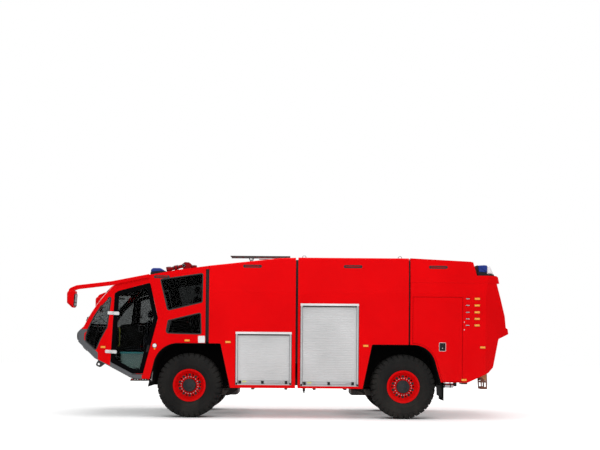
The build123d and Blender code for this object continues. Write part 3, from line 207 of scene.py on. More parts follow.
def edge_wear_group():
    """Mask of the rubbed edges: where a rounded normal leaves the flat one, broken up by noise."""
    tree, source, result = new_group("Edge wear", [("Radius", 0.006), ("Amount", 0.5), ("Scale", 30.0)],
        [("Mask", "Float")])
    soft = put(tree, "Bevel", samples=3, Radius=source.outputs["Radius"])
    flat = put(tree, "NewGeometry")
    same = put(tree, "VectorMath", operation="DOT_PRODUCT", i0=soft.outputs[0], i1=flat.outputs["Normal"])
    edge = span(tree, same.outputs["Value"], 0.995, 0.8)
    place = put(tree, "TexCoord")
    noise = put(tree, "TexNoise", Vector=place.outputs["Object"], Scale=source.outputs["Scale"], Detail=4.0,
        Roughness=0.65)
    rubbed = span(tree, noise.outputs[0], 0.42, 0.62)
    mask = maths(tree, "MULTIPLY", maths(tree, "MULTIPLY", edge, rubbed), source.outputs["Amount"], clamp=True)
    feed(tree, result, Mask=mask)
    return tree


def dust_group():
    """Mask of dust: thick near the ground, in streaks and on faces that look up."""
    tree, source, result = new_group("Dust", [("Amount", 0.3), ("Reach", 1.6), ("Scale", 2.5)], [("Mask", "Float")])
    place = put(tree, "TexCoord")
    apart = put(tree, "SeparateXYZ", i0=place.outputs["Object"])
    low = put(tree, "MapRange", i0=apart.outputs["Z"], i1=source.outputs["Reach"], i2=0.35, i3=0.12, i4=1.0)
    facing = put(tree, "SeparateXYZ", i0=put(tree, "NewGeometry").outputs["Normal"])
    upward = span(tree, facing.outputs["Z"], 0.3, 1.0, 0.0, 0.35)
    stretch = put(tree, "Mapping", Vector=place.outputs["Object"], Scale=(1.0, 1.0, 0.35))
    noise = put(tree, "TexNoise", Vector=stretch.outputs[0], Scale=source.outputs["Scale"], Detail=7.0, Roughness=0.6)
    speckle = span(tree, noise.outputs[0], 0.35, 0.75)
    both = maths(tree, "ADD", low.outputs[0], upward)
    mask = maths(tree, "MULTIPLY", maths(tree, "MULTIPLY", both, speckle), source.outputs["Amount"], clamp=True)
    feed(tree, result, Mask=mask)
    return tree


def grain_group():
    """Fine moulded or sprayed grain, as a height and as a broad tone that drifts over the surface."""
    tree, source, result = new_group("Grain", [("Scale", 400.0), ("Drift scale", 1.2)],
        [("Height", "Float"), ("Tone", "Float")])
    place = put(tree, "TexCoord").outputs["Object"]
    fine = put(tree, "TexNoise", Vector=place, Scale=source.outputs["Scale"], Detail=2.0)
    broad = put(tree, "TexNoise", Vector=place, Scale=source.outputs["Drift scale"], Detail=3.0)
    feed(tree, result, Height=fine.outputs[0], Tone=broad.outputs[0])
    return tree


def brushed_group():
    """Long streaks along X, as rolled or brushed metal shows."""
    tree, source, result = new_group("Brushed", [("Scale", 1.0)], [("Streak", "Float")])
    place = put(tree, "TexCoord").outputs["Object"]
    stretch = put(tree, "Mapping", Vector=place, Scale=(1.6, 60.0, 260.0))
    noise = put(tree, "TexNoise", Vector=stretch.outputs[0], Scale=source.outputs["Scale"], Detail=5.0, Roughness=0.7)
    feed(tree, result, Streak=noise.outputs[0])
    return tree


def weave_group():
    """Plain weave of two crossing threads, as a height and a tone."""
    tree, source, result = new_group("Weave", [("Threads", 420.0)], [("Height", "Float"), ("Tone", "Float")])
    place = put(tree, "TexCoord").outputs["Object"]
    waves = [put(tree, "TexWave", wave_type="BANDS", bands_direction=direction, Vector=place,
        Scale=source.outputs["Threads"], Distortion=0.4).outputs["Fac"] for direction in "XZ"]
    height = maths(tree, "MAXIMUM", *waves)
    tone = put(tree, "TexNoise", Vector=place, Scale=18.0, Detail=4.0).outputs[0]
    feed(tree, result, Height=height, Tone=tone)
    return tree


GROUP_MAKERS = {"Edge wear": edge_wear_group, "Dust": dust_group, "Grain": grain_group, "Brushed": brushed_group,
    "Weave": weave_group}


def effect(tree, name, **values):
    """Places one of the shared groups in a material."""
    shared = bpy.data.node_groups.get(name) or GROUP_MAKERS[name]()
    return put(tree, "Group", node_tree=shared, **values)


# Finishes by name. Colours are base, worn and dusty; bump, edge and rounding are in metres.
DUST_COLOUR = (0.3, 0.26, 0.21)
FINISHES = {}


def finish(name, base, rough, grain, bump, dust, worn=None, metal=0.0, wear=0.4, specular=0.5, drift=0.12, edge=0.005,
        rounded=0.0, streaks=0.0):
    """Notes down a finish; the material is made when it is first used. A colour given as one number is grey."""
    base, worn = (c if isinstance(c, tuple) else (c, c, c) for c in (base, base if worn is None else worn))
    FINISHES[name] = dict(base=base, rough=rough, grain=grain, bump=bump, dust=dust, worn=worn, metal=metal,
        wear=wear, specular=specular, drift=drift, edge=edge, rounded=rounded, streaks=streaks)


def note_finishes():
    """The table of painted, moulded and metal finishes."""
    paint = settings("paint")
    body, dust = tuple(paint.body), paint.dust
    light = tuple(min(1.0, c * 1.05 + 0.02) for c in body)
    finish("body_paint", body, 0.32, 260, 0.00006, dust, worn=light, wear=0.35, specular=0.03, drift=0.06,
        rounded=0.01)
    finish("wheel_paint", tuple(paint.wheel), 0.34, 300, 0.0001, 0.02, worn=light, wear=0.2, specular=0.04, drift=0.1,
        rounded=0.004)
    finish("trim_grey", tuple(paint.trim), 0.55, 700, 0.0004, 0.08, worn=0.09, wear=0.4, specular=0.2, drift=0.2,
        rounded=0.012)
    finish("black_plastic", (0.009, 0.009, 0.01), 0.45, 800, 0.0002, 0.04, worn=0.04, specular=0.2, rounded=0.006)
    finish("door_black", (0.0025, 0.0025, 0.003), 0.3, 200, 0.00005, 0.0, worn=0.006, specular=0.01, rounded=0.01)
    finish("cast_black", (0.018, 0.018, 0.019), 0.6, 160, 0.001, 0.5, worn=(0.07, 0.065, 0.06), drift=0.35,
        rounded=0.006)
    finish("chassis_black", (0.016, 0.016, 0.018), 0.5, 220, 0.0004, 0.5, worn=(0.06, 0.055, 0.05), drift=0.3,
        rounded=0.005)
    finish("rubber", 0.003, 0.75, 900, 0.0003, 0.0, worn=0.008, specular=0.02)
    finish("liner", 0.004, 0.85, 300, 0.0012, 0.03, worn=0.02, specular=0.08)
    finish("tyre_rubber", 0.011, 0.78, 260, 0.0007, 0.07, worn=(0.04, 0.039, 0.037), wear=0.8, specular=0.16,
        drift=0.35, edge=0.01, rounded=0.004)
    finish("hub_grey", (0.02, 0.022, 0.025), 0.5, 180, 0.0005, 0.15, worn=(0.07, 0.07, 0.075), specular=0.15,
        rounded=0.005)
    finish("zinc", (0.62, 0.6, 0.58), 0.32, 300, 0.0002, 0.15, worn=0.8, metal=0.9)
    finish("steel", (0.45, 0.45, 0.46), 0.35, 300, 0.0002, 0.15, worn=0.7, metal=0.9)
    finish("pale_metal", 0.66, 0.4, 300, 0.0003, 0.12, worn=0.8, metal=0.35, rounded=0.006)
    finish("shutter_slat", tuple(paint.shutter), 0.38, 500, 0.00006, 0.1, worn=(0.75, 0.75, 0.76), metal=0.3,
        drift=0.1, streaks=0.1)
    finish("frame_metal", (0.5, 0.5, 0.51), 0.34, 500, 0.0001, 0.12, worn=0.8, metal=0.6, rounded=0.003, streaks=0.12)
    finish("header_white", 0.86, 0.4, 500, 0.0001, 0.08, rounded=0.005)
    finish("dash", (0.02, 0.021, 0.023), 0.65, 900, 0.0005, 0.05, rounded=0.01)
    finish("cab_lining", (0.05, 0.052, 0.055), 0.8, 900, 0.0004, 0.05, rounded=0.01)
    finish("step_liner", (0.085, 0.125, 0.122), 0.6, 240, 0.0008, 0.3)
    finish("rail_yellow", (0.66, 0.72, 0.04), 0.35, 400, 0.0002, 0.05)
    finish("primer_brown", (0.42, 0.2, 0.06), 0.6, 200, 0.0005, 0.3)
    finish("monitor_red", (0.24, 0.004, 0.007), 0.36, 220, 0.0005, 0.03, worn=(0.4, 0.05, 0.04), specular=0.08,
        rounded=0.004)
    finish("step_brown", (0.14, 0.035, 0.012), 0.6, 200, 0.0005, 0.2, worn=(0.25, 0.1, 0.05))
    finish("teal_band", (0.0, 0.19, 0.21), 0.5, 240, 0.0003, 0.0)
    finish("tread_pad", (0.02, 0.02, 0.021), 0.85, 900, 0.0015, 0.25, worn=0.06)
    finish("locker_lining", (0.34, 0.345, 0.35), 0.5, 500, 0.0002, 0.1, metal=0.3, streaks=0.1)
    finish("hose_canvas", (0.46, 0.36, 0.16), 0.8, 600, 0.0008, 0.1, worn=(0.5, 0.45, 0.3), specular=0.1)
    finish("can_blue", (0.02, 0.06, 0.22), 0.4, 300, 0.0003, 0.1, specular=0.2, rounded=0.006)
    finish("plate_white", 0.82, 0.35, 500, 0.0001, 0.12)
    finish("engine_cast", (0.2, 0.205, 0.21), 0.55, 120, 0.0012, 0.4, metal=0.4, drift=0.3)


def principled(name):
    """A new material with its tree and its shader."""
    made = bpy.data.materials.new(name)
    made.use_nodes = True
    return made, made.node_tree, made.node_tree.nodes["Principled BSDF"]


def material(name):
    """The named material, made on first use."""
    ready = bpy.data.materials.get(name)
    if ready:
        return ready
    if name in CLEAR:
        return clear_material(name, *CLEAR[name])
    if name == "seat_cloth":
        return cloth_material()
    values = FINISHES[name]
    made, tree, shader = principled(name)
    grain = effect(tree, "Grain", Scale=values["grain"])
    dust = effect(tree, "Dust", Amount=values["dust"])
    wear = effect(tree, "Edge wear", Radius=values["edge"], Amount=values["wear"])
    base = values["base"]
    dark = tuple(c * (1.0 - 1.6 * values["drift"]) for c in base)
    tone = span(tree, grain.outputs["Tone"], 0.3, 0.7)
    colour_out = blend_colours(tree, tone, dark, base)
    rough_out = put(tree, "Math", operation="MULTIPLY_ADD", i0=tone, i1=0.06, i2=values["rough"] - 0.03).outputs[0]
    if values["streaks"]:
        brushed = effect(tree, "Brushed")
        amount = maths(tree, "MULTIPLY", brushed.outputs[0], values["streaks"] * 2.0)
        colour_out = blend_colours(tree, amount, colour_out, tuple(c * 0.72 for c in base))
        rough_out = maths(tree, "ADD", rough_out, maths(tree, "MULTIPLY", brushed.outputs[0], values["streaks"]))
    colour_out = blend_colours(tree, wear.outputs[0], colour_out, values["worn"])
    colour_out = blend_colours(tree, dust.outputs[0], colour_out, DUST_COLOUR)
    rough_out = maths(tree, "ADD", rough_out, maths(tree, "MULTIPLY", dust.outputs[0], 0.5), clamp=True)
    bump = put(tree, "Bump", Strength=0.6, Distance=values["bump"], Height=grain.outputs["Height"])
    if values["rounded"]:
        feed(tree, bump, Normal=put(tree, "Bevel", samples=3, Radius=values["rounded"]).outputs[0])
    feed(tree, shader, Base_Color=colour_out, Roughness=rough_out, Metallic=values["metal"],
        Specular_IOR_Level=values["specular"], Normal=bump.outputs[0])
    return made


LOWER_PANE_TOP = 1.376
GLASS_DUST = (0.25, 0.25, 0.24)
# Clear and lens finishes as colour, roughness, transmission, index of refraction
CLEAR = {
    "tinted_glass": ((0.25, 0.26, 0.26), 0.0, 1.0, 1.1),
    "privacy_glass": ((0.1, 0.105, 0.105), 0.0, 1.0, 1.1),
    "screen_glass": ((0.36, 0.38, 0.38), 0.0, 1.0, 1.18),
    "mirror_glass": ((0.75, 0.76, 0.78), 0.02, 0.0, 1.45),
    "lens_clear": ((0.92, 0.93, 0.95), 0.08, 0.55, 1.45),
    "lens_amber": ((1.0, 0.36, 0.02), 0.12, 0.0, 1.45),
    "lens_red": ((0.7, 0.01, 0.012), 0.12, 0.0, 1.45),
    "lens_blue": ((0.012, 0.035, 0.24), 0.1, 0.0, 1.25),
    "lens_smoke": ((0.3, 0.01, 0.01), 0.25, 0.0, 1.08),
    "lens_white": ((0.84, 0.84, 0.86), 0.15, 0.0, 1.45),
    "reflector": ((0.85, 0.82, 0.76), 0.15, 0.0, 1.45),
}


def clear_material(name, base, rough, through, index):
    """Glass, mirror or lens. Lenses have fine moulded ribs, and glass a faint film of dust."""
    made, tree, shader = principled(name)
    lens = name.startswith("lens") or name == "reflector"
    base = {"lens_amber": tuple(settings("paint").amber), "lens_blue": tuple(settings("paint").beacon)}.get(name, base)
    dust = effect(tree, "Dust", Amount=0.18 if lens else 0.05, Reach=3.4)
    top = base
    if name == "tinted_glass":
        apart = put(tree, "SeparateXYZ", i0=put(tree, "TexCoord").outputs["Object"])
        low = span(tree, apart.outputs["Z"], LOWER_PANE_TOP + 0.002, LOWER_PANE_TOP - 0.002)
        top = blend_colours(tree, low, base, (0.86, 0.96, 0.94))
    feed(tree, shader, Base_Color=blend_colours(tree, dust.outputs[0], top, DUST_COLOUR if lens else GLASS_DUST),
        Roughness=span(tree, dust.outputs[0], 0.0, 1.0, rough, rough + 0.25), Transmission_Weight=through, IOR=index,
        Metallic=1.0 if name in ("mirror_glass", "reflector") else 0.0)
    if lens:
        place = put(tree, "TexCoord").outputs["Object"]
        ribs, cross = (put(tree, "TexWave", wave_type="BANDS", bands_direction=d, Vector=place,
            Scale=28.0).outputs["Fac"] for d in "XZ")
        bump = put(tree, "Bump", Strength=0.5, Distance=0.0012, Height=maths(tree, "ADD", ribs, cross))
        feed(tree, shader, Normal=bump.outputs[0])
    return made


def cloth_material():
    """Dark woven seat cloth with a soft sheen, and a painted highlight that lightens the raised threads."""
    made, tree, shader = principled("seat_cloth")
    weave = effect(tree, "Weave", Threads=420.0)
    tone = span(tree, weave.outputs["Tone"], 0.3, 0.7)
    base = blend_colours(tree, tone, (0.012, 0.013, 0.017), (0.028, 0.03, 0.036))
    # Painted highlight: the raised crests of the weave are coloured lighter.
    base = blend_colours(tree, span(tree, weave.outputs["Height"], 0.2, 1.0, 0.0, 0.5), base, (0.05, 0.055, 0.07))
    bump = put(tree, "Bump", Strength=0.5, Distance=0.0006, Height=weave.outputs["Height"])
    feed(tree, shader, Base_Color=base, Roughness=span(tree, tone, 0.0, 1.0, 0.82, 0.92), Sheen_Weight=0.3,
        Normal=bump.outputs[0])
    return made


# Meshes


class Mesh:
    """A piece under construction: loops, boxes, turned shapes and tubes gathered in one bmesh."""

    def __init__(self):
        self.bm = bmesh.new()
        self.finishes = []

    def finish_index(self, name):
        """Slot number of a finish, added on first use."""
        if name not in self.finishes:
            self.finishes.append(name)
        return self.finishes.index(name)

    def face(self, points, finish_name, smooth=False):
        """One polygon from points."""
        made = self.bm.faces.new([self.bm.verts.new(p) for p in points])
        made.material_index = self.finish_index(finish_name)
        made.smooth = smooth
        return made

    def skin(self, loops, finish_name, closed=True, smooth=True, capped=True, around=False):
        """Bridges equal loops of points in turn. closed joins each loop to itself, around the last to the first."""
        index = self.finish_index(finish_name)
        rings = [[self.bm.verts.new(p) for p in loop] for loop in loops]
        count = len(rings[0])
        pairs = list(zip(rings, rings[1:])) + ([(rings[-1], rings[0])] if around else [])
        for first, second in pairs:
            for step in range(count if closed else count - 1):
                after = (step + 1) % count
                quad = self.bm.faces.new((first[step], first[after], second[after], second[step]))
                quad.material_index = index
                quad.smooth = smooth
        if capped and closed and not around:
            for ring in (rings[0][::-1], rings[-1]):
                cap = self.bm.faces.new(ring)
                cap.material_index = index
        return rings

    def box(self, low, high, finish_name, chamfer=0.0, turn=None):
        """Upright box between two corners, with its edges broken."""
        low, high = Vector(map(min, low, high)), Vector(map(max, low, high))
        centre, extent = (low + high) / 2, high - low
        made = bmesh.ops.create_cube(self.bm, size=1.0)
        verts = made["verts"]
        bmesh.ops.scale(self.bm, vec=extent, verts=verts)
        faces = {f for v in verts for f in v.link_faces}
        if chamfer:
            edges = list({e for v in verts for e in v.link_edges})
            bevelled = bmesh.ops.bevel(self.bm, geom=edges, offset=min(chamfer, 0.45 * min(extent)), segments=2,
                affect="EDGES", profile=0.6)
            verts = list({v for f in faces if f.is_valid for v in f.verts} | set(bevelled["verts"]))
            faces = {f for v in verts for f in v.link_faces}
        move = Matrix.Translation(centre) @ (turn or Matrix.Identity(4))
        bmesh.ops.transform(self.bm, matrix=move, verts=verts)
        for f in faces:
            f.material_index = self.finish_index(finish_name)
        return verts

    def slab(self, outline, start, end, finish_name, chamfer=0.0, place=None):
        """Outline of points in two coordinates, drawn in X and Z and carried from one width to another."""
        place = place or UPRIGHT
        sense = 1 if end > start else -1
        rows = [(start, 0.0), (end, 0.0)]
        if chamfer:
            rows = [(start, chamfer), (start + sense * chamfer, 0.0), (end - sense * chamfer, 0.0), (end, chamfer)]
        loops = [[place(a, b, width) for a, b in (inset(outline, drop) if drop else outline)] for width, drop in rows]
        return self.skin(loops, finish_name, smooth=False)

    def turned(self, profile, centre, axis, finish_name, segments=48, closed=False, start=None):
        """Profile of radius and distance along an axis, turned about it."""
        axis = Vector(axis).normalized()
        across = axis.orthogonal().normalized() if start is None else Vector(start).normalized()
        third = axis.cross(across)
        centre = Vector(centre)
        loops = []
        for step in range(segments):
            angle = 2 * math.pi * step / segments
            out = across * math.cos(angle) + third * math.sin(angle)
            loops.append([centre + out * radius + axis * along for radius, along in profile])
        return self.skin(loops, finish_name, closed=closed, capped=False, around=True)

    def tube(self, points, radius, finish_name, segments=12):
        """Round bar that follows points, closed at its ends."""
        points = [Vector(p) for p in points]
        loops = []
        up = Vector(UP)
        for step, point in enumerate(points):
            before = points[max(step - 1, 0)]
            after = points[min(step + 1, len(points) - 1)]
            run = (after - before).normalized()
            side = run.cross(up)
            if side.length < 0.05:
                side = run.cross(Vector(ACROSS))
            side.normalize()
            other = side.cross(run).normalized()
            up = other
            loops.append([point + (side * math.cos(2 * math.pi * k / segments) + other
                * math.sin(2 * math.pi * k / segments)) * radius for k in range(segments)])
        return self.skin(loops, finish_name)

    def cord(self, points, radius, finish_name, out=OUT, segments=8, flat=1.0):
        """Closed moulding round an opening, thick by its radius and flat of that outwards."""
        points, out = [Vector(p) for p in points], Vector(out)
        loops = []
        for step, point in enumerate(points):
            run = (points[(step + 1) % len(points)] - points[step - 1]).normalized()
            beside = run.cross(out).normalized()
            loops.append([point + beside * radius * math.cos(2 * math.pi * k / segments) + out * radius * flat
                * math.sin(2 * math.pi * k / segments) for k in range(segments)])
        return self.skin(loops, finish_name, capped=False, around=True)

    def wrap(self, find, sense, across, heights, proud, sink, finish_name):
        """Strip laid on the nose (sense -1) or the tail (1) at some widths and heights."""
        loops = []
        for y in across:
            spots = [find((-AHEAD * sense, y, z), (-sense, 0, 0))[0] for z in heights]
            loops.append([s + Vector((sense * proud, 0.0, 0.0)) for s in spots]
                + [s - Vector((sense * sink, 0.0, 0.0)) for s in reversed(spots)])
        return self.skin(loops, finish_name, smooth=False)

    def dome(self, outline, start, rise, finish_name, rim=0.0, crown=0.25, place=None, steps=3):
        """Raised cover over an outline: a straight rim, then a curved crown that closes at the top."""
        place = place or UPRIGHT
        centre = sum((Vector(p) for p in outline), Vector((0.0, 0.0))) / len(outline)
        rows = [(1.0, 0.0), (1.0, rim)]
        for step in range(1, steps + 1):
            turn = math.pi / 2 * step / steps
            rows.append((1.0 - crown * (1.0 - math.cos(turn)), rim + (1.0 - rim) * math.sin(turn)))
        loops = [[place(*(centre + (Vector(p) - centre) * shrink), start + rise * up) for p in outline] for shrink,
            up in rows]
        return self.skin(loops, finish_name, smooth=False)

    def cushion(self, place, width, length, thickness, finish_name, crown=0.35, seams=(-0.55, 0.55), groove=0.006):
        """Stuffed form with soft edges, a crowned face, stitched grooves along it and a piped edge."""
        across = sorted({-1.0, -0.985, -0.94, -0.86, -0.74, -0.4, -0.2, 0.0, 0.2, 0.4, 0.74, 0.86, 0.94, 0.985,
            1.0} | {s + d for s in seams for d in (-0.06, -0.03, 0.0, 0.03, 0.06)})
        loops = []
        for step in range(23):
            t = math.sin(math.pi / 2 * (step / 11.0 - 1.0)) * 0.999
            edge = max(1.0 - abs(t) ** 6, 0.0) ** 0.5
            half = width / 2 * (0.9 + 0.1 * edge)
            top, low = [], []
            for u in across:
                side = max(1.0 - abs(u) ** 6, 0.0) ** 0.5
                dip = sum(groove * math.exp(-((u - s) / 0.028) ** 2) for s in seams) * edge
                top.append(place(u * half, t * length / 2, thickness / 2 * side * edge
                    * (1.0 + crown * (1.0 - u * u) * (1.0 - t * t)) - dip))
                low.append(place(u * half, t * length / 2, -thickness / 2 * side * edge))
            loops.append(top + low[::-1][1:-1])
        self.skin(loops, finish_name)
        off = place(0, 0, 1) - place(0, 0, 0)
        piping = plate(width * 0.985, length * 0.992, min(width, length) * 0.09, 5)
        self.cord([place(p.x, p.y, 0.0) for p in piping], 0.0055, finish_name, out=off)
        return self

    def hexagon(self, centre, axis, radius, height, finish_name):
        """Nut or bolt head with a domed face, standing on a point along an axis."""
        centre, axis = Vector(centre), Vector(axis).normalized()
        across = axis.orthogonal().normalized()
        third = axis.cross(across)
        loops = []
        for share_of, drop in ((1.0, 0.0), (1.0, 0.82), (0.86, 1.0), (0.35, 1.0)):
            loops.append([centre + axis * height * drop + (across * math.cos(math.pi * k / 3) + third
                * math.sin(math.pi * k / 3)) * radius * share_of for k in range(6)])
        self.skin(loops, finish_name, smooth=False)

    def mirrored(self):
        """Adds the same faces on the other side of the truck."""
        copies = bmesh.ops.duplicate(self.bm, geom=list(self.bm.verts) + list(self.bm.edges) + list(self.bm.faces))
        verts = [g for g in copies["geom"] if isinstance(g, bmesh.types.BMVert)]
        faces = [g for g in copies["geom"] if isinstance(g, bmesh.types.BMFace)]
        bmesh.ops.transform(self.bm, matrix=Matrix.Scale(-1.0, 4, ACROSS), verts=verts)
        bmesh.ops.reverse_faces(self.bm, faces=faces)
        return self

    def piece(self, name, body, slot, replaces=(), hand=1, keep_normals=False):
        """Makes the object, on its body. hand -1 turns the left piece into the right one."""
        if hand < 0:
            bmesh.ops.transform(self.bm, matrix=Matrix.Scale(-1.0, 4, ACROSS), verts=self.bm.verts)
            bmesh.ops.reverse_faces(self.bm, faces=self.bm.faces)
        if not keep_normals:
            bmesh.ops.recalc_face_normals(self.bm, faces=self.bm.faces)
        data = bpy.data.meshes.new(name)
        self.bm.to_mesh(data)
        for finish_name in self.finishes:
            data.materials.append(material(finish_name))
        made = add_object(name, data)
        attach(made, body)
        if replaces:
            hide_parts(*replaces)
        return made


def rounded(rows, steps=6):
    """Points of a closed outline from rows of two coordinates and a corner radius."""
    points = []
    for index, (a, b, radius) in enumerate(rows):
        here = Vector((a, b))
        before, after = Vector(rows[index - 1][:2]), Vector(rows[(index + 1) % len(rows)][:2])
        into, out = (before - here).normalized(), (after - here).normalized()
        angle = into.angle(out)
        if radius <= 0 or angle > math.pi - 0.02:
            points.append(here)
            continue
        reach = min(radius / math.tan(angle / 2), (before - here).length * 0.49, (after - here).length * 0.49)
        true_radius = reach * math.tan(angle / 2)
        centre = here + (into + out).normalized() * (true_radius / math.sin(angle / 2))
        first, last = here + into * reach - centre, here + out * reach - centre
        turn = first.angle_signed(last)
        for step in range(steps + 1):
            share_of = step / steps
            cosine, sine = math.cos(-turn * share_of), math.sin(-turn * share_of)
            points.append(centre + Vector((first.x * cosine - first.y * sine, first.x * sine + first.y * cosine)))
    return points


def inset(points, distance):
    """A closed outline moved inwards by a distance."""
    points = [Vector(p) for p in points]
    area = sum(p.x * points[(i + 1) % len(points)].y - points[(i + 1) % len(points)].x * p.y for i,
        p in enumerate(points))
    sense = 1.0 if area > 0 else -1.0
    moved = []
    for index, here in enumerate(points):
        before, after = points[index - 1], points[(index + 1) % len(points)]
        first, second = (here - before).normalized(), (after - here).normalized()
        normal_a, normal_b = Vector((-first.y, first.x)) * sense, Vector((-second.y, second.x)) * sense
        both = normal_a + normal_b
        scale = 2.0 / max(both.length_squared, 0.25)
        moved.append(here + both * scale * distance)
    return moved


def add_object(name, data):
    """Puts an object on the scene."""
    made = bpy.data.objects.new(name, data)
    bpy.context.scene.collection.objects.link(made)
    return made


def dress(finish_name, *nodes):
    """Gives CAD nodes a finish."""
    for node in nodes:
        data = frame["nodes"][node].data
        data.materials.clear()
        data.materials.append(material(finish_name))


def skin_finder(*nodes):
    """Finds where a line across the truck first meets some CAD nodes."""
    trees = [BVHTree.FromPolygons([v.co for v in frame["nodes"][n].data.vertices],
        [p.vertices for p in frame["nodes"][n].data.polygons]) for n in nodes]

    def find(origin, direction):
        best = None
        for tree in trees:
            spot, normal, _, distance = tree.ray_cast(Vector(origin), Vector(direction))
            if spot is not None and (best is None or distance < best[2]):
                best = (spot, normal, distance)
        return best
    return find


def plane(origin, right, up, off):
    """Turns two distances across a plane and one off it into a point."""
    origin, right, up, off = map(Vector, (origin, right, up, off))
    return lambda a, b, w: origin + right * a + up * b + off * w


UPRIGHT = plane((0, 0, 0), ALONG, UP, ACROSS)


def moved(place, right, up):
    """The same plane, with its middle elsewhere."""
    return lambda a, b, w: place(a + right, b + up, w)


def seat_on(find, origin, direction):
    """Where a line meets the truck, turns two distances along the skin and one off it into a point."""
    spot, normal, _ = find(origin, direction)
    if normal.dot(Vector(direction)) > 0:
        normal = -normal
    along = Vector(UP).cross(normal).normalized()
    return plane(spot, along, normal.cross(along), normal)


def plate(width, height, radius, steps=4):
    """Rounded rectangle about its middle."""
    a, b = width / 2, height / 2
    return rounded([(-a, -b, radius), (a, -b, radius), (a, b, radius), (-a, b, radius)], steps)


def paint_faces(node, finish_name, wanted):
    """Gives the faces of a CAD node that pass a test on centre and normal a finish of their own."""
    data = frame["nodes"][node].data
    data.materials.append(material(finish_name))
    for polygon in data.polygons:
        if wanted(polygon.center, polygon.normal):
            polygon.material_index = len(data.materials) - 1


# Stage

CAMERA_X = 0.129
CAMERA_ROLL = math.radians(0.45)
PIXELS_A_METRE = 47.735
PICTURE_WIDTH = 600.0
SENSOR_WIDTH = 36.0
SHIFT = (5.0 / PICTURE_WIDTH, 117.0 / PICTURE_WIDTH)
# Glow of the floor near the truck and far off, lower near the truck as painted shade, the reach of its painted contact
# shadow and the strength of the sky
FLOOR_LIFT = (0.33, 0.58)
PAINTED_CONTACT_SHADOW_REACH = 0.7
WORLD_LIGHT = 0.5


def add_lamp(name, place, target, width, power):
    """A soft square lamp that looks at a point."""
    data = bpy.data.lights.new(name, "AREA")
    data.size, data.energy = width, power
    made = add_object(name, data)
    made.location = place
    made.rotation_euler = (Vector(target) - Vector(place)).to_track_quat("-Z", "Y").to_euler()
    return made


def add_floor(stage):
    """Pale floor that keeps the truck's shadow, adds a painted shade round the truck, and is white where it is lit."""
    mesh = Mesh()
    half = stage.floor / 2
    mesh.face([(-half, -half, 0.0), (half, -half, 0.0), (half, half, 0.0), (-half, half, 0.0)], "floor")
    data = bpy.data.meshes.new("floor")
    mesh.bm.to_mesh(data)
    data.materials.append(floor_material())
    made = add_object("floor", data)


def floor_material():
    """Diffuse near-white with a faint mottle, lifted a little where a camera, mirror or pane sees it. The lift carries
    painted shade: it is weaker close to the truck, and ambient occlusion dims it into a painted contact shadow under
    the body and at the tyres.
    """
    made, tree, shader = principled("floor")
    place = put(tree, "TexCoord").outputs["Object"]
    mottle = put(tree, "TexNoise", Vector=place, Scale=0.6, Detail=3.0).outputs[0]
    feed(tree, shader, Base_Color=blend_colours(tree, mottle, (0.86, 0.86, 0.86), (0.9, 0.9, 0.9)), Roughness=0.9,
        Specular_IOR_Level=0.0)
    # Painted shade: the glow falls off towards the truck, and ambient occlusion cuts it further into a painted contact
    # shadow.
    reach = put(tree, "Mapping", Vector=place, Scale=(1 / 9.0, 1 / 6.0, 1.0)).outputs[0]
    away = put(tree, "VectorMath", operation="LENGTH", i0=reach).outputs["Value"]
    near = put(tree, "AmbientOcclusion", samples=8, Distance=PAINTED_CONTACT_SHADOW_REACH).outputs["AO"]
    glow_less_painted_shade = maths(tree, "MULTIPLY", span(tree, away, 0.6, 1.5, *FLOOR_LIFT), span(tree, near, 0.3, 0.97))
    lift = put(tree, "Emission", Strength=maths(tree, "MULTIPLY", see_through_rays(tree), glow_less_painted_shade))
    both = put(tree, "AddShader", i0=shader.outputs[0], i1=lift.outputs[0])
    feed(tree, tree.nodes["Material Output"], Surface=both.outputs[0])
    return made


def light_world(scene):
    """Even pale light that shows as plain white."""
    world = scene.world or bpy.data.worlds.new("studio")
    scene.world = world
    world.use_nodes = True
    tree = world.node_tree
    for node in list(tree.nodes):
        tree.nodes.remove(node)
    strength = span(tree, see_through_rays(tree), 0.0, 1.0, WORLD_LIGHT, 1.0)
    shine = put(tree, "Background", Color=(1.0, 1.0, 1.0), Strength=strength)
    put(tree, "OutputWorld", Surface=shine.outputs[0])


DONE = {"FINISHED"}
BLACK = "black_plastic"


class TRUCK_OT_stage(bpy.types.Operator):
    """Builds the floor, the soft studio light and the camera"""
    bl_idname = "truck.stage"
    bl_label = "Stage"

    def execute(self, context):
        stage = settings("stage")
        scene = context.scene
        scene.view_settings.view_transform = "Standard"
        add_floor(stage)
        light_world(scene)
        add_lamp("overhead", (0.0, -1.0, 11.0), (0.0, 0.0, 0.0), 14.0, stage.key)
        for name, place, power in (("near_side", (-0.5, -15.0, 7.5), 1.0), ("far_side", (4.0, 14.0, 8.0), 0.6)):
            add_lamp(name, place, (0.0, 0.0, 1.5), 10.0, stage.fill * power).visible_glossy = False
        camera = add_object("camera", bpy.data.cameras.new("camera"))
        camera.location = (CAMERA_X, -HALF_WIDTH - stage.distance, stage.eye)
        camera.rotation_euler = (Matrix.Rotation(math.pi / 2, 3, "X") @ Matrix.Rotation(CAMERA_ROLL, 3, "Z")).to_euler()
        camera.data.sensor_width = SENSOR_WIDTH
        camera.data.lens = PIXELS_A_METRE * stage.distance * SENSOR_WIDTH / PICTURE_WIDTH
        camera.data.shift_x, camera.data.shift_y = SHIFT
        camera.data.clip_end = 400.0
        scene.camera = camera
        return DONE


def see_through_rays(tree):
    """One for a ray from the camera, off a mirror or through glass, else nought."""
    path = put(tree, "LightPath")
    either = maths(tree, "MAXIMUM", path.outputs["Is Camera Ray"], path.outputs["Is Glossy Ray"])
    return maths(tree, "MAXIMUM", either, path.outputs["Is Transmission Ray"])


def side_y(height):
    """Distance of the cab's outer skin from the middle at a height."""
    return HALF_WIDTH - 0.024 * (height - 0.7)


# Carried-over solids

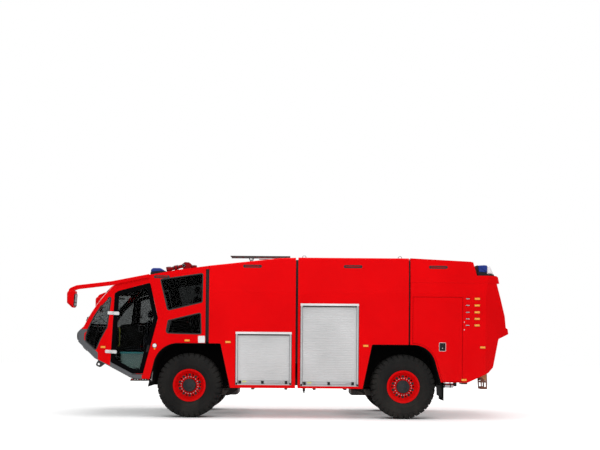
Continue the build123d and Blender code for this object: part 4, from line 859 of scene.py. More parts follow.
CARRIED = {
    "body_paint": ("front_body", "mid_body", "rear_body", "roof_cap", "cab_roof", "cab_left_side", "cab_right_side",
                   "cab_front", "flap_left", "flap_right", "mirrors"),
    "trim_grey": ("front_bumper",),
    "door_black": ("door_left", "door_right"),
    BLACK: ("rear_grille", "beacons"),
    "rubber": ("body_seals",),
    "liner": ("arch_liners",),
    "cab_lining": ("cab_floor", "cab_rear_wall"),
    "dash": ("dashboard", "steering_wheel"),
    "seat_cloth": ("seats",),
    "screen_glass": ("windscreen",),
    "privacy_glass": ("cab_windows",),
    "tinted_glass": ("door_left_glass", "door_right_glass"),
    "pale_metal": ("hinge_brackets",),
    "lens_amber": ("lamps",),
    "chassis_black": ("chassis_frame", "suspension", "steps", "tow_points", "roof_gear"),
    "steel": ("air_tanks",),
    "cast_black": ("front_axle", "rear_axle", "driveline", "knuckle_left", "knuckle_right"),
    "engine_cast": ("engine_block",),
    "monitor_red": ("monitor_swivel", "monitor_barrel"),
    "frame_metal": ("shutter_frames", "shutter_rail_front_left", "shutter_rail_front_right", "shutter_rail_mid_left",
                    "shutter_rail_mid_right"),
    "shutter_slat": ("curtain_front_left", "curtain_front_right", "curtain_mid_left", "curtain_mid_right"),
    "wheel_paint": tuple("wheel_" + name for name, _ in CORNERS),
    "tyre_rubber": tuple("tyre_" + name for name, _ in CORNERS),
}


# Bays whose walls have a finish of their own, as rows of node, limits along and upwards, and finish
LINED = (("front_body", F(0.97), F(2.15), 0.69, 1.82, "locker_lining"),
         ("mid_body", F(2.32), R(-0.945), 0.675, 2.42, "locker_lining"),
         ("rear_body", R(0.19), R(1.61), 1.61, 2.81, "liner"))


class TRUCK_OT_solids(bpy.types.Operator):
    """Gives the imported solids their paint, metal, rubber and glass"""
    bl_idname = "truck.solids"
    bl_label = "Body and chassis finishes"

    def execute(self, context):
        note_finishes()
        for finish_name, nodes in CARRIED.items():
            dress(finish_name, *nodes)
        for hand, sense in SIDES:
            paint_faces("cab_" + hand + "_side", "cab_lining",
                lambda c, n: n.y * sense < 0.6 and c.z > 1.0 and abs(c.y) < side_y(c.z) - 0.004)
            paint_faces("door_" + hand, "pale_metal", lambda c, n: abs(c.y) > side_y(c.z) + 0.0004)
        paint_faces("cab_roof", "cab_lining", lambda c, n: n.z < -0.3 and abs(c.y) < side_y(c.z) - 0.04)
        paint_faces("cab_front", "cab_lining", lambda c, n: n.x > 0.25)
        paint_faces("cab_windows", "tinted_glass", lambda c, n: c.x < F(-1.5))
        for node, x0, x1, z0, z1, finish_name in LINED:
            paint_faces(node, finish_name, lambda c, n: x0 < c.x < x1 and z0 < c.z < z1 and abs(c.y) < 1.46)
        paint_faces("steps", "primer_brown", lambda c, n: c.x > 0 and c.z > 0.86)
        paint_faces("steps", "step_brown", lambda c, n: c.x > 0 and c.z <= 0.86)
        return DONE


# Tyres and wheels

# Outer half of the carcass as rows of radius and distance outwards, from the bead to the crown
CARCASS = [
    (0.3033, 0.2077), (0.3093, 0.2157), (0.3453, 0.2287), (0.356, 0.23), (0.364, 0.24), (0.374, 0.247),
    (0.386, 0.248), (0.392, 0.254), (0.4, 0.26), (0.425, 0.271), (0.431, 0.276), (0.44, 0.278),
    (0.446, 0.2765), (0.48, 0.287), (0.51, 0.292), (0.538, 0.2925), (0.545, 0.2948), (0.553, 0.2948),
    (0.56, 0.29), (0.58, 0.283), (0.602, 0.268), (0.624, 0.25), (0.64, 0.228), (0.649, 0.195),
    (0.652, 0.16), (0.652, 0.06),
]
CARCASS_INSIDE = [(0.6, 0.21), (0.375, 0.175)]
# A lug's stations as rows of distance outwards, radius of its top and its root, half width as a share of the pitch
SHOULDER_LUG = [
    (0.05, 0.6795, 0.652, 0.22), (0.11, 0.68, 0.652, 0.34), (0.175, 0.6795, 0.652, 0.38),
    (0.226, 0.669, 0.64, 0.39), (0.262, 0.643, 0.618, 0.38), (0.284, 0.604, 0.585, 0.33),
    (0.2915, 0.57, 0.56, 0.22),
]
CENTRE_BLOCK = [(-0.04, 0.6795, 0.645, 0.1), (0.0, 0.68, 0.645, 0.17), (0.04, 0.6795, 0.645, 0.1)]
LUG_CHAMFER = 0.006


def wheel_frame(name, sense):
    """Turns radius, angle and distance outwards into a point of a wheel."""
    centre = spin_centre(name)

    def point(radius, angle, outwards):
        return centre + Vector((radius * math.cos(angle), sense * outwards, radius * math.sin(angle)))
    return point


def add_lug(mesh, point, angle, pitch, rows, sense, slant):
    """One lug: a ridge that follows the tread and turns down over the shoulder."""
    loops = []
    for outwards, top, root, half in rows:
        middle = angle + slant * pitch * (1.0 - outwards / 0.29)
        reach = half * pitch
        edge = LUG_CHAMFER / top
        loops.append([point(radius, middle + turn, sense * outwards) for radius, turn in (
            (root, -reach), (top - LUG_CHAMFER, -reach), (top, -reach + edge), (top, reach - edge),
            (top - LUG_CHAMFER, reach), (root, reach))])
    mesh.skin(loops, "tyre_rubber", smooth=False)


class TRUCK_OT_tyres(bpy.types.Operator):
    """Turns the tyres and sets their lugs"""
    bl_idname = "truck.tyres"
    bl_label = "Tyres"

    def execute(self, context):
        tyres = settings("tyres")
        pitch = 2 * math.pi / tyres.lugs
        profile = CARCASS + [(r, -y) for r, y in reversed(CARCASS)]
        profile += [(r, -y) for r, y in reversed(CARCASS_INSIDE)] + CARCASS_INSIDE
        for name, sense in CORNERS:
            mesh = Mesh()
            mesh.turned(profile, spin_centre(name), (0, sense, 0), "tyre_rubber", segments=96, closed=True)
            point = wheel_frame(name, sense)
            for step in range(tyres.lugs):
                add_lug(mesh, point, step * pitch, pitch, SHOULDER_LUG, 1, 0.55)
                add_lug(mesh, point, (step + 0.5) * pitch, pitch, SHOULDER_LUG, -1, 0.55)
                add_lug(mesh, point, (step + 0.25) * pitch, pitch, CENTRE_BLOCK, 1, 0.0)
            mesh.piece("lugged_tyre_" + name, "wheel_" + name, "tyre", ("tyre_" + name,))
        return DONE


NUT_RING = 0.178
HOLE_RING = 0.22
DISC_FACE = 0.15
HUB_COVER = [(0.14, 0.1495), (0.14, 0.16), (0.137, 0.162), (0.137, 0.22), (0.139, 0.223), (0.139, 0.237),
    (0.135, 0.244), (0.127, 0.256), (0.125, 0.261), (0.12, 0.2645), (0.045, 0.2645), (0.042, 0.27), (0.033, 0.273),
    (0.012, 0.273)]


class TRUCK_OT_hubs(bpy.types.Operator):
    """Sets the hub covers, wheel nuts and cover bolts"""
    bl_idname = "truck.hubs"
    bl_label = "Hubs and wheel nuts"

    def execute(self, context):
        count = settings("tyres").nuts
        for name, sense in CORNERS:
            mesh = Mesh()
            axis = Vector((0, sense, 0))
            centre = spin_centre(name)
            point = wheel_frame(name, sense)
            mesh.turned(HUB_COVER, centre, axis, "hub_grey", segments=48)
            mesh.turned([(0.012, 0.273), (0.0, 0.2755)], centre, axis, "hub_grey", segments=16)
            for step in range(count):
                angle = 2 * math.pi * (step + 0.5) / count
                foot = point(NUT_RING, angle, DISC_FACE)
                mesh.turned([(0.0, 0.0), (0.0185, 0.0), (0.0185, 0.003), (0.0, 0.003)], foot, axis, "wheel_paint",
                    segments=16)
                mesh.hexagon(foot + axis * 0.003, axis, 0.0125, 0.018, "zinc")
                mesh.turned([(0.0075, 0.0), (0.0075, 0.034), (0.0055, 0.037), (0.0, 0.037)], foot, axis, "zinc",
                    segments=10)
            for step in range(10):
                mesh.turned([(0.0, 0.0015), (0.025, 0.0015), (0.029, 0.003), (0.031, -0.002)],
                    point(HOLE_RING, 2 * math.pi * (step + 0.5) / 10, DISC_FACE), axis, "rubber", segments=20)
            for step in range(12):
                mesh.hexagon(point(0.092, math.pi * (step + 0.5) / 6, 0.264), axis, 0.0085, 0.0075, "hub_grey")
            mesh.piece("hub_cover_" + name, "wheel_" + name, "axle_metal")
        return DONE


# Lockers

# Lockers as rows of name and the share of the width where each black clip sits
LOCKERS = (("front", (0.037, 0.482, 0.947)), ("mid", (0.035, 0.49, 0.94)))
CLIP = (0.056, 0.062)
HEADER_HEIGHT = 0.044


def slat_profile(low, high, face, back):
    """Side view of a curtain: shallow convex slats with a groove between each pair."""
    shutters = settings("shutters")
    count = max(1, round((high - low) / shutters.pitch))
    pitch = (high - low) / count
    points = []
    for step in range(count):
        foot = low + step * pitch
        points += [(face + shutters.groove, foot + 0.0005), (face + 0.0008, foot + 0.0045),
            (face, foot + pitch * 0.5), (face + 0.0008, foot + pitch - 0.004)]
    points.append((face + shutters.groove, high))
    return points + [(back, high), (back, low)]


def slatted_curtain(name, hand, sense):
    """One curtain of slats, in place of the imported one."""
    node = "curtain_" + name + "_" + hand
    low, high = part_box(node)
    face, back = (low.y, high.y) if sense < 0 else (-high.y, -low.y)
    profile = slat_profile(low.z, high.z, face, back)
    mesh = Mesh()
    mesh.skin([[(x, y, z) for y, z in profile] for x in (low.x, high.x)], "shutter_slat", smooth=False)
    made = mesh.piece("slats_" + name + "_" + hand, "chassis", "shutter_metal", (node,), hand=-sense)
    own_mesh(made)


def rail_fittings(name, hand, sense, clips):
    """Clips, lock and a reflective tab on a shutter's bottom rail."""
    low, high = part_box("shutter_rail_" + name + "_left")
    width = high.x - low.x
    face = low.y + 0.012
    mesh = Mesh()
    for share_of in clips:
        middle = low.x + width * share_of
        mesh.box((middle - CLIP[0] / 2, face - 0.016, high.z - CLIP[1] - 0.006),
            (middle + CLIP[0] / 2, face + 0.012, high.z - 0.004), BLACK, 0.005)
        mesh.box((middle - 0.012, face - 0.02, high.z - CLIP[1] - 0.004),
            (middle + 0.012, face - 0.014, high.z - 0.018), BLACK, 0.002)
    mesh.box((low.x + width * 0.8, face - 0.01, high.z - 0.044), (low.x + width * 0.925, face + 0.002,
        high.z - 0.026), BLACK, 0.003)
    mesh.box((low.x + width * 0.085, face - 0.005, high.z - 0.052), (low.x + width * 0.165, face + 0.001,
        high.z - 0.01), "rail_yellow", 0.001)
    mesh.piece("rail_fittings_" + name + "_" + hand, "shutter_" + name + "_" + hand, "trim_grey", hand=-sense)


def locker_surround(name):
    """Header strip, brush seal, dark outer joint and corner blocks round a locker on both sides."""
    clear_low, clear_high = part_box("curtain_" + name + "_left")
    x0, x1 = clear_low.x - 0.045, clear_high.x + 0.045
    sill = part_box("shutter_rail_" + name + "_left")[0].z - 0.0225
    head = clear_high.z + 0.045
    face = -HALF_WIDTH - 0.004
    mesh = Mesh()
    mesh.box((x0 - 0.004, face - 0.007, head - HEADER_HEIGHT), (x1 + 0.004, face + 0.002, head + 0.002),
        "header_white", 0.003)
    mesh.box((x0 + 0.04, face + 0.0005, head - 0.07), (x1 - 0.04, face + 0.004, head - 0.044), "rubber", 0.001)
    for edge, sense in ((x0, 1), (x1, -1)):
        mesh.box((edge - sense * 0.006, face - 0.002, sill), (edge + sense * 0.003, face + 0.006,
            head - HEADER_HEIGHT), "rubber", 0.001)
        mesh.box((edge + sense * 0.0385, face - 0.003, sill + 0.03), (edge + sense * 0.044, face + 0.01,
            head - HEADER_HEIGHT), "rubber", 0.001)
        mesh.box((edge + sense * 0.006, face - 0.01, sill + 0.004), (edge + sense * 0.038, face + 0.004,
            sill + 0.046), BLACK, 0.004)
        for step in range(4):
            height = sill + 0.12 + (head - sill - 0.26) * step / 3
            mesh.hexagon((edge + sense * 0.02, face + 0.0005, height), OUT, 0.007, 0.004, "steel")
    mesh.mirrored().piece("locker_trim_" + name, "chassis", "shutter_metal")


class TRUCK_OT_shutters(bpy.types.Operator):
    """Builds the slatted curtains, the header strips, joints, clips and locks of the lockers"""
    bl_idname = "truck.shutters"
    bl_label = "Roller shutters"

    def execute(self, context):
        for name, clips in LOCKERS:
            for hand, sense in SIDES:
                slatted_curtain(name, hand, sense)
                rail_fittings(name, hand, sense, clips)
            locker_surround(name)
        return DONE


# Lamps

OUTER_SKIN = ("front_body", "mid_body", "rear_body", "roof_cap", "cab_left_side", "cab_front", "cab_roof",
    "front_bumper", "flap_left")
# Side markers as rows of station and height, then the column behind the flap
SIDE_MARKERS = [(F(-1.811), 1.47), (F(-0.045), 1.622), (F(0.813), 1.596), (R(-0.799), 1.538), (R(1.65), 1.523),
    (R(1.263), 0.839)]
COLUMN_HEIGHTS = (1.984, 2.12, 2.258, 2.402, 2.541)
SLOT_LIGHTS = [(F(1.312), 3.192), (F(3.424), 3.198), (R(0.715), 3.2)]


def slot_light(mesh, place, share_of=1.0):
    """Long oval: a black surround and a smoked lens."""
    shift = moved(place, 0.0, -0.045)
    mesh.slab(plate(0.38 * share_of, 0.05, 0.024, 6), -0.03, 0.0005, "rubber", 0.002, shift)
    mesh.cord([shift(p.x, p.y, 0.0) for p in plate(0.384 * share_of, 0.054, 0.026, 6)], 0.005, "rubber",
        out=place(0, 0, 1) - place(0, 0, 0), flat=0.6)
    mesh.dome(plate(0.3 * share_of, 0.02, 0.009, 6), 0.0, 0.003, "lens_smoke", rim=0.3, crown=0.1, place=shift)


class TRUCK_OT_side_lamps(bpy.types.Operator):
    """Builds the amber markers, the round lamps and the dark slot lights of both sides"""
    bl_idname = "truck.side_lamps"
    bl_label = "Side lamps"

    def execute(self, context):
        find = skin_finder(*OUTER_SKIN)
        mesh = Mesh()
        for x, z in SIDE_MARKERS + [(R(1.528), z) for z in COLUMN_HEIGHTS]:
            place = seat_on(find, (x, BESIDE, z), ACROSS)
            mesh.slab(plate(0.116, 0.05, 0.008), -0.004, 0.004, BLACK, 0.001, place)
            mesh.dome(plate(0.108, 0.042, 0.006), 0.003, 0.0105, "lens_amber", rim=0.4, crown=0.12, place=place)
        for x, z in SLOT_LIGHTS:
            slot_light(mesh, seat_on(find, (x, BESIDE, z + 0.045), ACROSS))
        slot_light(mesh, seat_on(find, (F(-0.59), BESIDE, 3.0), ACROSS), 0.85)
        place = seat_on(find, (F(-0.726), BESIDE, 1.51), ACROSS)
        middle, normal = place(0, 0, 0), place(0, 0, 1) - place(0, 0, 0)
        mesh.turned([(0.05, -0.004), (0.05, 0.006), (0.047, 0.01), (0.043, 0.01), (0.041, 0.004), (0.0, 0.004)],
            middle, normal, BLACK)
        mesh.turned([(0.042, 0.004), (0.041, 0.009), (0.032, 0.0125), (0.016, 0.0135), (0.0, 0.0138)], middle, normal,
            "lens_white")
        mesh.turned([(0.017, -0.002), (0.017, 0.004), (0.011, 0.009), (0.0, 0.01)], place(0.0, -0.066, 0.0), normal,
            "lens_amber", segments=24)
        mesh.mirrored().piece("side_lamps", "chassis", "lamp", ("lamps",))
        return DONE


def tail_plane(y):
    """Plane at the middle of the tail's lower slope, and its direction outwards."""
    low, high = Vector((R(1.9185), y, 1.2365)), Vector((R(1.983), y, 1.5575))
    up = (high - low).normalized()
    off = Vector((up.z, 0.0, -up.x))
    return plane((low + high) / 2, ACROSS, up, off), off


def tail_lamps():
    """Three round lenses on a black base, up the slope of each side of the tail."""
    mesh = Mesh()
    place, off = tail_plane(-1.04)
    mesh.slab(plate(0.158, 0.324, 0.02), -0.06, 0.012, BLACK, 0.003, place)
    for b, lens in ((-0.104, "lens_white"), (0.0, "lens_amber"), (0.104, "lens_red")):
        foot = place(0, b, 0.012)
        mesh.turned([(0.048, -0.004), (0.048, 0.004), (0.045, 0.006), (0.042, 0.006)], foot, off, "rubber")
        mesh.turned([(0.043, 0.0), (0.043, 0.006), (0.036, 0.011), (0.018, 0.014), (0.0, 0.0145)], foot, off, lens)
    mesh.mirrored().piece("tail_lamp_clusters", "chassis", "lamp")


class TRUCK_OT_headlamps(bpy.types.Operator):
    """Builds the round headlamps in the bumper and the lamp clusters on the tail"""
    bl_idname = "truck.headlamps"
    bl_label = "Headlamps and tail lamps"

    def execute(self, context):
        find = skin_finder("lamps")
        mesh = Mesh()
        spot, _, _ = find((AHEAD, -0.95, 1.7), ALONG)
        face = Vector((spot.x, -0.95, 1.7))
        ahead = Vector((-1.0, 0.0, 0.0))
        mesh.turned([(0.0915, -0.055), (0.0915, 0.004), (0.089, 0.008), (0.083, 0.008), (0.08, 0.0), (0.079, -0.01)],
            face, ahead, BLACK)
        mesh.turned([(0.079, -0.008), (0.07, -0.022), (0.056, -0.036), (0.036, -0.046), (0.018, -0.05),
            (0.012, -0.0505)], face, ahead, "reflector")
        mesh.turned([(0.0125, -0.052), (0.0125, -0.03), (0.009, -0.022), (0.0, -0.02)], face, ahead, "lens_white",
            segments=20)
        mesh.turned([(0.0795, -0.009), (0.079, -0.002), (0.064, 0.003), (0.04, 0.006), (0.0, 0.008), (0.0, 0.005),
            (0.04, 0.003), (0.064, 0.0), (0.077, -0.005), (0.078, -0.009)], face, ahead, "lens_clear", closed=True)
        mesh.mirrored().piece("headlamp_units", "chassis", "lamp")
        tail_lamps()
        return DONE


def lamp_pod(mesh):
    """Black housing with a blue beacon ahead and a clear work lamp behind."""
    deck = 3.03
    base = [(R(1.562), deck - 0.018), (R(1.538), deck + 0.222), (R(1.56), deck + 0.226), (R(1.585), deck + 0.082),
        (R(1.73), deck + 0.078), (R(1.745), deck + 0.046), (R(1.894), deck + 0.04), (R(1.926), deck - 0.018)]
    mesh.slab(base, -1.358, -1.062, BLACK, 0.004)
    blue = rounded([(R(1.583), deck + 0.078, 0.006), (R(1.562), deck + 0.222, 0.012), (R(1.7), deck + 0.231, 0.02),
        (R(1.762), deck + 0.224, 0.018), (R(1.76), deck + 0.074, 0.006)])
    mesh.slab(blue, -1.352, -1.068, "lens_blue", 0.014)
    clear = rounded([(R(1.764), deck + 0.042, 0.006), (R(1.766), deck + 0.22, 0.012), (R(1.818), deck + 0.217, 0.028),
        (R(1.893), deck + 0.05, 0.01)])
    mesh.slab(clear, -1.346, -1.074, "lens_white", 0.012)
    for y in (-1.28, -1.21, -1.14):
        mesh.slab(inset(blue, -0.0012), y - 0.003, y + 0.003, "lens_blue")
    for y in (-1.345, -1.075):
        mesh.box((R(1.6), y - 0.01, deck - 0.02), (R(1.64), y + 0.01, deck + 0.004), BLACK, 0.002)


class TRUCK_OT_beacons(bpy.types.Operator):
    """Builds the low blue beacons of the cab roof and the lamp pods of the rear deck"""
    bl_idname = "truck.beacons"
    bl_label = "Beacons"

    def execute(self, context):
        mesh = Mesh()
        x, base = F(-0.85), 3.012
        tray = [(x, base + 0.026), (x + 0.006, base + 0.052), (x + 0.3, base + 0.078), (x + 0.345, base + 0.064),
            (x + 0.345, base + 0.03), (x + 0.04, base - 0.03), (x, base - 0.01)]
        mesh.slab(tray, -1.33, -1.01, BLACK, 0.006)
        lens = rounded([(x + 0.008, base + 0.044, 0.01), (x + 0.01, base + 0.11, 0.028),
            (x + 0.06, base + 0.138, 0.02), (x + 0.205, base + 0.138, 0.03), (x + 0.285, base + 0.09, 0.02),
            (x + 0.292, base + 0.068, 0.01)])
        mesh.slab(lens, -1.322, -1.018, "lens_blue", 0.016)
        for y in (-1.245, -1.17, -1.095):
            mesh.slab(inset(lens, -0.0015), y - 0.003, y + 0.003, "lens_blue")
        lamp_pod(mesh)
        mesh.mirrored().piece("beacon_units", "chassis", "beacon", ("beacons",))
        return DONE


def flap_latch(hand, sense):
    """Paddle latch in the pocket of an engine flap: a pale border, a black dish and its lever."""
    mesh = Mesh()
    place = plane((R(0.808), -HALF_WIDTH, 1.527), ALONG, UP, OUT)
    mesh.cord([place(p.x, p.y, 0.0) for p in plate(0.134, 0.174, 0.012)], 0.005, "pale_metal", flat=0.5)
    mesh.slab(plate(0.122, 0.164, 0.01), -0.0235, -0.014, BLACK, 0.002, place)
    mesh.slab(plate(0.07, 0.096, 0.014), -0.015, -0.003, BLACK, 0.004, place)
    mesh.slab([(-0.028, 0.012), (0.028, 0.012), (0.024, 0.04), (-0.024, 0.04)], -0.004, 0.0015, BLACK, 0.002, place)
    centre = place(0, -0.028, -0.003)
    mesh.turned([(0.011, -0.002), (0.011, 0.0025), (0.009, 0.0035), (0.0, 0.0035)], centre, OUT, "steel", segments=24)
    mesh.piece("flap_latch_" + hand, "flap_" + hand, "trim_grey", hand=-sense)


class TRUCK_OT_side_fittings(bpy.types.Operator):
    """Adds the vents, the blank plate, the flap latches and the catches of both sides"""
    bl_idname = "truck.side_fittings"
    bl_label = "Side fittings"

    def execute(self, context):
        find = skin_finder(*OUTER_SKIN)
        mesh = Mesh()
        for z in COLUMN_HEIGHTS:
            place = seat_on(find, (R(1.4), BESIDE, z), ACROSS)
            shift = moved(place, -0.067, 0.0)
            mesh.slab(plate(0.086, 0.03, 0.014, 6), -0.0135, -0.01, "body_paint", 0.001, shift)
            mesh.slab(plate(0.078, 0.016, 0.007, 6), -0.011, -0.003, "pale_metal", 0.001, shift)
            for b in (-0.003, 0.003):
                mesh.slab([(-0.03, b - 0.0008), (0.03, b - 0.0008), (0.03, b + 0.0008), (-0.03, b + 0.0008)], -0.004,
                    -0.0026, BLACK, 0.0, shift)
        place = seat_on(find, (F(0.255), BESIDE, 1.648), ACROSS)
        mesh.slab(plate(0.144, 0.146, 0.008), -0.001, 0.003, "plate_white", 0.0008, place)
        for a in (-0.06, 0.06):
            for b in (-0.061, 0.061):
                mesh.hexagon(place(a, b, 0.0028), OUT, 0.0045, 0.003, "steel")
        for z in (2.05, 1.89):
            spot = seat_on(find, (R(1.262), BESIDE, z), ACROSS)(0, 0, 0)
            mesh.turned([(0.011, -0.002), (0.011, 0.003), (0.009, 0.005), (0.0, 0.005)], spot, OUT, "pale_metal",
                segments=24)
        mesh.mirrored().piece("side_fittings", "chassis", "trim_grey")
        for hand, sense in SIDES:
            flap_latch(hand, sense)
        return DONE


# Mirrors, roof gear and monitor


class TRUCK_OT_mirrors(bpy.types.Operator):
    """Builds the swept mirror arms and the hanging heads with their glass"""
    bl_idname = "truck.mirrors"
    bl_label = "Mirrors"

    def execute(self, context):
        mesh = Mesh()
        arm = rounded([(F(-0.85), 3.01, 0), (F(-1.64), 2.852, 0.09), (F(-2.37), 2.762, 0.11),
            (F(-2.528), 2.696, 0.09), (F(-2.552), 2.56, 0.02), (F(-2.44), 2.56, 0.02), (F(-2.43), 2.64, 0.04),
            (F(-2.33), 2.678, 0.06), (F(-1.65), 2.764, 0.09), (F(-0.85), 2.935, 0)], 8)
        mesh.slab(arm, -1.5, -1.4555, "body_paint", 0.01)
        head = rounded([(F(-2.56), 2.64, 0.07), (F(-2.56), 2.392, 0.02), (F(-2.452), 2.29, 0.02),
            (F(-2.418), 2.3, 0.012), (F(-2.392), 2.64, 0.03), (F(-2.44), 2.655, 0.03)], 8)
        mesh.slab(head, -1.558, -1.302, "body_paint", 0.026)
        mesh.cord([(p.x, -1.43, p.y) for p in inset(head, 0.0012)], 0.0035, "rubber", segments=6)
        face = plane((F(-2.4015) - 0.175 * 0.085, -1.43, 2.3), ACROSS, (0.085, 0, 1), ALONG)
        mesh.slab(plate(0.226, 0.262, 0.022), -0.014, 0.01, BLACK, 0.004, moved(face, 0, 0.15))
        mesh.slab(plate(0.204, 0.164, 0.014), 0.008, 0.0125, "mirror_glass", 0.001, moved(face, 0, 0.19))
        mesh.slab(plate(0.204, 0.062, 0.014), 0.008, 0.0135, "mirror_glass", 0.001, moved(face, 0, 0.062))
        mesh.mirrored().piece("mirror_arms", "chassis", "body_red", ("mirrors",))
        return DONE


MONITOR_X = F(-0.23)
FLAT_ROOF = 3.3835


def roof_ladder():
    """Two tubes with rungs, lifted on bent brackets, and the riser under the monitor."""
    mesh = Mesh()
    top, x0, x1 = 3.428, F(0.832), F(2.098)
    outer, inner = -1.08, -0.76
    for y in (outer, inner):
        mesh.tube([(x0, y, top), (x0 + 0.02, y, top), (x1 - 0.02, y, top), (x1, y, top)], 0.0145, "chassis_black")
        for x in (x0, x1):
            mesh.turned([(0.0, -0.004), (0.0165, -0.004), (0.0165, 0.004), (0.0, 0.004)], (x, y, top), ALONG,
                "rubber", segments=16)
        mesh.box((F(1.42), y - 0.008, 3.388), (F(2.06), y + 0.008, 3.404), "monitor_red", 0.003)
    for step in range(9):
        x = x0 + 0.12 + step * 0.13
        mesh.tube([(x, outer + 0.008, top), (x, inner - 0.008, top)], 0.0105, "chassis_black", 10)
    for x, foot in ((F(1.26), 3.305), (F(1.96), 3.378)):
        for lean in (-0.045, 0.045):
            mesh.tube([(x + lean, outer - 0.01, top - 0.01), (x, outer - 0.01, foot)], 0.009, "chassis_black", 8)
            mesh.tube([(x + lean, inner + 0.01, top - 0.01), (x, inner + 0.01, foot)], 0.009, "chassis_black", 8)
        mesh.box((x - 0.022, outer - 0.038, foot - 0.006), (x + 0.022, inner + 0.038, foot + 0.008), "chassis_black",
            0.003)
    x, roof = MONITOR_X, 3.1093
    mesh.turned([(0.118, -0.04), (0.118, 0.022), (0.11, 0.03), (0.074, 0.032), (0.068, 0.04), (0.068, 0.054),
        (0.078, 0.058), (0.078, 0.0618), (0.0, 0.0618)], (x, 0, roof), UP, "monitor_red")
    for step in range(8):
        angle = math.pi * (step + 0.5) / 4
        mesh.hexagon((x + 0.096 * math.cos(angle), 0.096 * math.sin(angle), roof + 0.029), UP, 0.01, 0.009, "zinc")
    mesh.piece("roof_ladder_and_riser", "chassis", "black_metal", ("roof_gear",))


def roof_walkways():
    """Anti-slip pads, hinged hatches, filler caps and lifting hoops on the flat roof."""
    mesh, roof = Mesh(), FLAT_ROOF
    for x0, x1, y0, y1 in ((F(2.36), F(4.5), -0.4, 0.4), (R(0.2), R(1.28), -0.4, 0.4), (F(2.36), F(4.5), 0.86, 1.26),
            (F(2.36), F(4.5), -1.26, -0.86)):
        z0, z1 = (3.3816, 3.3286) if x0 > R(0.0) else (roof, roof)
        mesh.slab([(x0, z0 - 0.03), (x0, z0 + 0.004), (x1, z1 + 0.004), (x1, z1 - 0.03)], y0, y1, "tread_pad", 0.002)
    for x in (F(2.62), F(3.55)):
        mesh.box((x, 0.46, roof - 0.01), (x + 0.62, 0.8, roof + 0.022), "body_paint", 0.01)
        mesh.box((x + 0.02, -0.8, roof - 0.01), (x + 0.6, -0.46, roof + 0.018), "body_paint", 0.01)
        for y in (0.52, 0.7):
            mesh.box((x - 0.022, y, roof + 0.002), (x + 0.03, y + 0.045, roof + 0.028), "steel", 0.004)
        mesh.tube([(x + 0.585, 0.56, roof + 0.02), (x + 0.585, 0.56, roof + 0.038), (x + 0.585, 0.7, roof + 0.038),
            (x + 0.585, 0.7, roof + 0.02)], 0.006, "steel", 8)
    for x, y in ((F(3.36), 0.62), (F(3.36), -0.62)):
        mesh.turned([(0.0, 0.04), (0.07, 0.04), (0.085, 0.034), (0.09, 0.01), (0.102, 0.006), (0.102, -0.006)],
            (x, y, roof), UP, "cast_black", segments=32)
        mesh.tube([(x - 0.05, y, roof + 0.04), (x - 0.03, y, roof + 0.052), (x + 0.03, y, roof + 0.052),
            (x + 0.05, y, roof + 0.04)], 0.008, "cast_black", 8)
    for x in (F(2.4), F(4.42)):
        for y in (-1.33, 1.33):
            mesh.tube([(x - 0.035, y, roof - 0.01), (x - 0.035, y, roof + 0.03), (x - 0.02, y, roof + 0.046),
                (x + 0.02, y, roof + 0.046), (x + 0.035, y, roof + 0.03), (x + 0.035, y, roof - 0.01)], 0.008,
                "steel", 10)
    mesh.piece("roof_walkways", "chassis", "black_metal")


class TRUCK_OT_roof_gear(bpy.types.Operator):
    """Builds the stowed ladder on its brackets, the monitor's riser and the walkways, hatches and hoops of the roof"""
    bl_idname = "truck.roof_gear"
    bl_label = "Roof gear"

    def execute(self, context):
        roof_ladder()
        roof_walkways()
        return DONE


